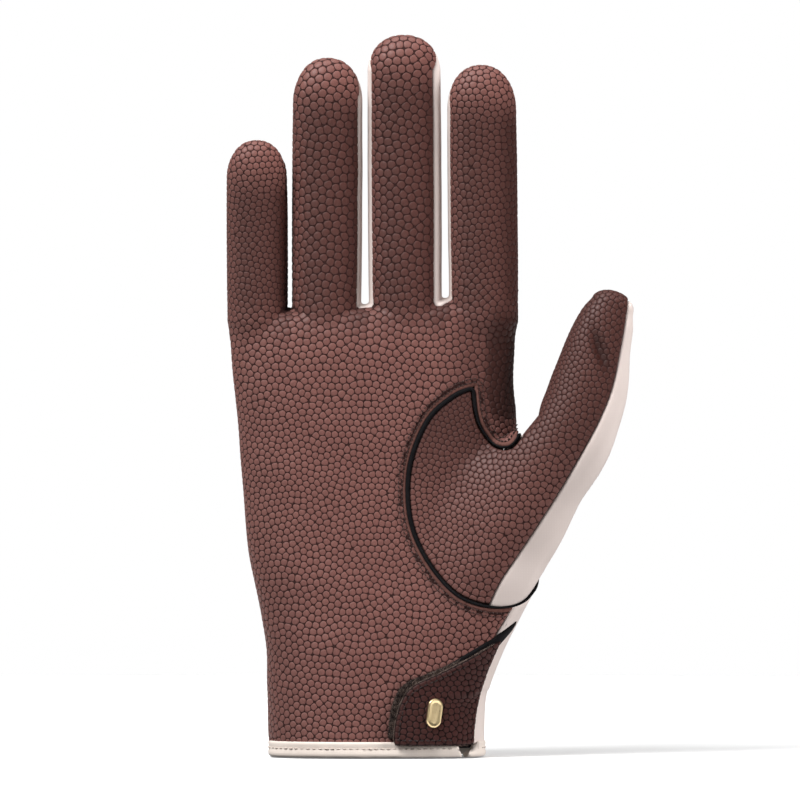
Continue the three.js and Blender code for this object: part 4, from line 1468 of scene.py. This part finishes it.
# A small plain gold bar with round ends and an eased rim, stamped from metal and
# pressed on the tab.
bar_length, bar_width, bar_tilt = 9.0, 4.6, math.radians(-9)
bar_middle = onto_hand(np.array([[0.268 * wrist_width, -17.0, 0.345 * tab_height]]), 6)
bar_out = outward(bar_middle)[0]
bar_up = np.array([-math.sin(bar_tilt), 0, math.cos(bar_tilt)])
bar_up -= bar_up @ bar_out * bar_out
bar_up /= np.linalg.norm(bar_up)
bar_side = np.cross(bar_up, bar_out)
bar_sides = 48
turn = np.arange(bar_sides) / bar_sides * 2 * np.pi
shift = np.where(np.sin(turn) >= 0, 1, -1) * (bar_length - bar_width) / 2
rings = []
for inset, height in (
    (0.0, -0.3), (0.0, 0.45), (0.06, 0.62), (0.2, 0.74), (0.38, 0.8), (0.7, 0.76), (0.85, 0.66),
    (1.4, 0.68), (2.2, 0.7),
):
    radius = bar_width / 2 - inset
    rings.append(
        bar_middle + (np.cos(turn) * radius)[:, None] * bar_side
        + (np.sin(turn) * radius + shift)[:, None] * bar_up
        + (tab_top + 0.3 + height) * bar_out
    )
gold, gold_start, gold_place, gold_surface = finish("gold")
drawn_out = gold_start.node(
    "ShaderNodeMapping", {}, {0: gold_place, "Scale": (9000.0, 9000.0, 500.0)}
)
brushed = gold_start.node(
    "ShaderNodeTexNoise", {}, {"Vector": drawn_out, "Scale": 1.0, "Detail": 2.0}
)
gold_surface(
    Base_Color=brushed.mixed(colour(226, 196, 142), colour(246, 226, 182)), Metallic=1.0,
    Roughness=brushed.span(0.2, 0.8, 0.26, 0.38),
)
bar = to_piece(
    "gold_bar", np.vstack(rings), ring_faces(len(rings), bar_sides), gold, "gold_metal"
)
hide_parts("tab_plate")

# The hem: a cream tape folded over the raw wrist edge and sewn with one row of thread,
# open at the slit, where its end is cut slanting.
tape_middle = 2.3


def wrist_points(way, height):
    direction = np.stack([np.cos(way), np.sin(way)], 1)
    low, high = np.full(len(way), 4.0), np.full(len(way), 60.0)
    for _ in range(30):
        middle = (low + high) / 2
        p = np.column_stack([direction * middle[:, None], np.full(len(way), height)])
        inside = hand_form(p) < 0
        low, high = np.where(inside, middle, low), np.where(inside, high, middle)
    return np.column_stack([direction * low[:, None], np.full(len(way), height)])


all_round = wrist_points(np.linspace(-math.pi, math.pi, 1440, endpoint=False), tape_middle)
front_right = all_round[(all_round[:, 1] < 0) & (all_round[:, 0] > 10)]


def way_at(x):
    """The direction, from the wrist's middle, of the point at this X on its palm side."""
    return math.atan2(*front_right[np.abs(front_right[:, 0] - x).argmin(), [1, 0]])


hem_start, hem_end = way_at(0.470 * wrist_width), way_at(0.385 * wrist_width) + 2 * math.pi
hem_line = wrist_points(np.linspace(hem_start, hem_end, 1200), tape_middle)
hem_line = evenly(hem_line, 0.8)
hem_out = outward(hem_line)
hem_out[:, 2] = 0
hem_out /= np.linalg.norm(hem_out, axis=1)[:, None]
hem_along = np.gradient(hem_line, axis=0)
hem_along /= np.linalg.norm(hem_along, axis=1)[:, None]
# outwards and upwards, round the folded tape
tape = [
    (-0.1, 4.75), (0.25, 4.85), (0.5, 4.6), (0.55, 4.0), (0.42, 3.2), (0.36, 2.7), (0.42, 2.2),
    (0.58, 1.4), (0.55, 0.7), (0.3, 0.2), (-0.1, 0.02), (-0.8, 0.0), (-1.3, 0.25), (-1.6, 0.9),
    (-1.65, 2.5), (-1.6, 3.9), (-1.4, 4.5), (-0.8, 4.7),
]
step = np.arange(len(hem_line))
sway = 0.09 * np.sin(step * 0.37) + 0.07 * np.sin(step * 0.83 + 1)
slant = np.clip((step - len(step) + 12) / 11, 0, 1)
tail = np.clip(1 - step / 8, 0, 1)
hem_rings = np.stack([
    hem_line + hem_out * (out + sway * (out > 0))[:, None]
    + hem_along * (slant * (tape_middle - up) * 0.4 - tail * 5.4 * (up < 2.0))[:, None]
    + np.array([0, 0, 1]) * (up - tape_middle)
    for out, up in tape
], 1)
hem_cloth = knit_cloth("hem_tape", colour(232, 217, 206), colour(248, 236, 226))
hem = to_piece(
    "hem_tape", hem_rings.reshape(-1, 3), ring_faces(len(hem_line), len(tape)), hem_cloth,
    "cream_binding",
)
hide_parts("hem_binding")
cream_thread = plain_cloth("cream_thread", colour(182, 166, 155), colour(222, 208, 198), 1800.0)
hem_row = hem_line + np.array([0, 0, 0.45])
to_piece(
    "hem_stitches", *stitched(hem_row[4:-4], 1.9, 1.45, 0.2, 0.42), cream_thread, "cream_binding"
)

# The white table and soft light of the studio, and the camera straight in front of the
# palm, level with its middle, through a long lens. The backdrop is a white shell that
# only the camera sees, so that it lights nothing.
def staged(name, points, faces, finish_):
    mesh = bpy.data.meshes.new(name)
    mesh.from_pydata(points, [], faces)
    mesh.materials.append(finish_)
    made = bpy.data.objects.new(name, mesh)
    bpy.context.scene.collection.objects.link(made)
    return made


table_finish, _, _, table_surface = finish("white_table")
table_surface(
    Base_Color=(0.9, 0.9, 0.9, 1), Roughness=0.9, Specular_IOR_Level=0.0,
    Emission_Color=(1, 1, 1, 1), Emission_Strength=0.16,
)
table_reach, table_top, table_sides = 0.75, -0.0004, 128
rim = [
    (
        table_reach * math.cos(a * math.tau / table_sides),
        table_reach * math.sin(a * math.tau / table_sides), table_top,
    )
    for a in range(table_sides)
]
table = staged("table", rim, [list(range(table_sides))], table_finish)
table.visible_diffuse = False
backdrop_finish = bpy.data.materials.new("white_backdrop")
backdrop_finish.use_nodes = True
backdrop_finish.node_tree.nodes.clear()
backdrop_start = Shade(backdrop_finish.node_tree)
backdrop_start.node(
    "ShaderNodeOutputMaterial", {},
    {"Surface": backdrop_start.node("ShaderNodeEmission", {}, {"Strength": 1.0})},
)
globe_rows, globe_sides, globe_reach = 17, 32, 8.0
row_turn, side_turn = math.pi / (globe_rows - 1), math.tau / globe_sides
globe = [
    (
        globe_reach * math.sin(r * row_turn) * math.cos(s * side_turn),
        globe_reach * math.sin(r * row_turn) * math.sin(s * side_turn),
        globe_reach * math.cos(r * row_turn),
    )
    for r in range(globe_rows) for s in range(globe_sides)
]
globe_faces = [
    (r + s, r + (s + 1) % globe_sides, r + globe_sides + (s + 1) % globe_sides,
     r + globe_sides + s)
    for r in range(0, globe_sides * (globe_rows - 1), globe_sides) for s in range(globe_sides)
]
backdrop = staged("backdrop", globe, globe_faces, backdrop_finish)
backdrop.visible_diffuse = backdrop.visible_glossy = backdrop.visible_transmission = False
backdrop.visible_shadow = False

world = bpy.data.worlds.new("studio")
bpy.context.scene.world = world
world.use_nodes = True
world.node_tree.nodes["Background"].inputs[0].default_value = (1, 1, 1, 1)
world.node_tree.nodes["Background"].inputs[1].default_value = 0.12


def soft_lamp(name, place, size, power, aim=(0.01, 0, 0.11)):
    lamp = bpy.data.lights.new(name, "AREA")
    lamp.shape = "RECTANGLE"
    lamp.size, lamp.size_y = size
    lamp.energy = power
    held = bpy.data.objects.new(name, lamp)
    bpy.context.scene.collection.objects.link(held)
    held.location = place
    back = held.location - type(held.location)(aim)
    held.rotation_euler = back.to_track_quat("Z", "Y").to_euler()
    return held


soft_lamp("key_lamp", (-0.95, -0.85, 1.45), (0.8, 0.8), 45)
soft_lamp("fill_lamp", (1.45, -0.6, 0.35), (0.6, 0.6), 22).visible_glossy = False
soft_lamp("top_lamp", (0.02, -0.1, 1.5), (1.2, 1.2), 11)

lens = bpy.data.cameras.new("camera")
lens.sensor_width = 36
picture_width, camera_back = 0.248, 2.5
lens.lens = lens.sensor_width * camera_back / picture_width
lens.clip_start, lens.clip_end = 0.05, 50
camera = bpy.data.objects.new("camera", lens)
camera.location = (0.00713, -camera_back, 0.1102)
camera.rotation_euler = (math.pi / 2, 0, 0)
bpy.context.scene.collection.objects.link(camera)
bpy.context.scene.camera = camera
bpy.context.scene.view_settings.view_transform = "Standard"
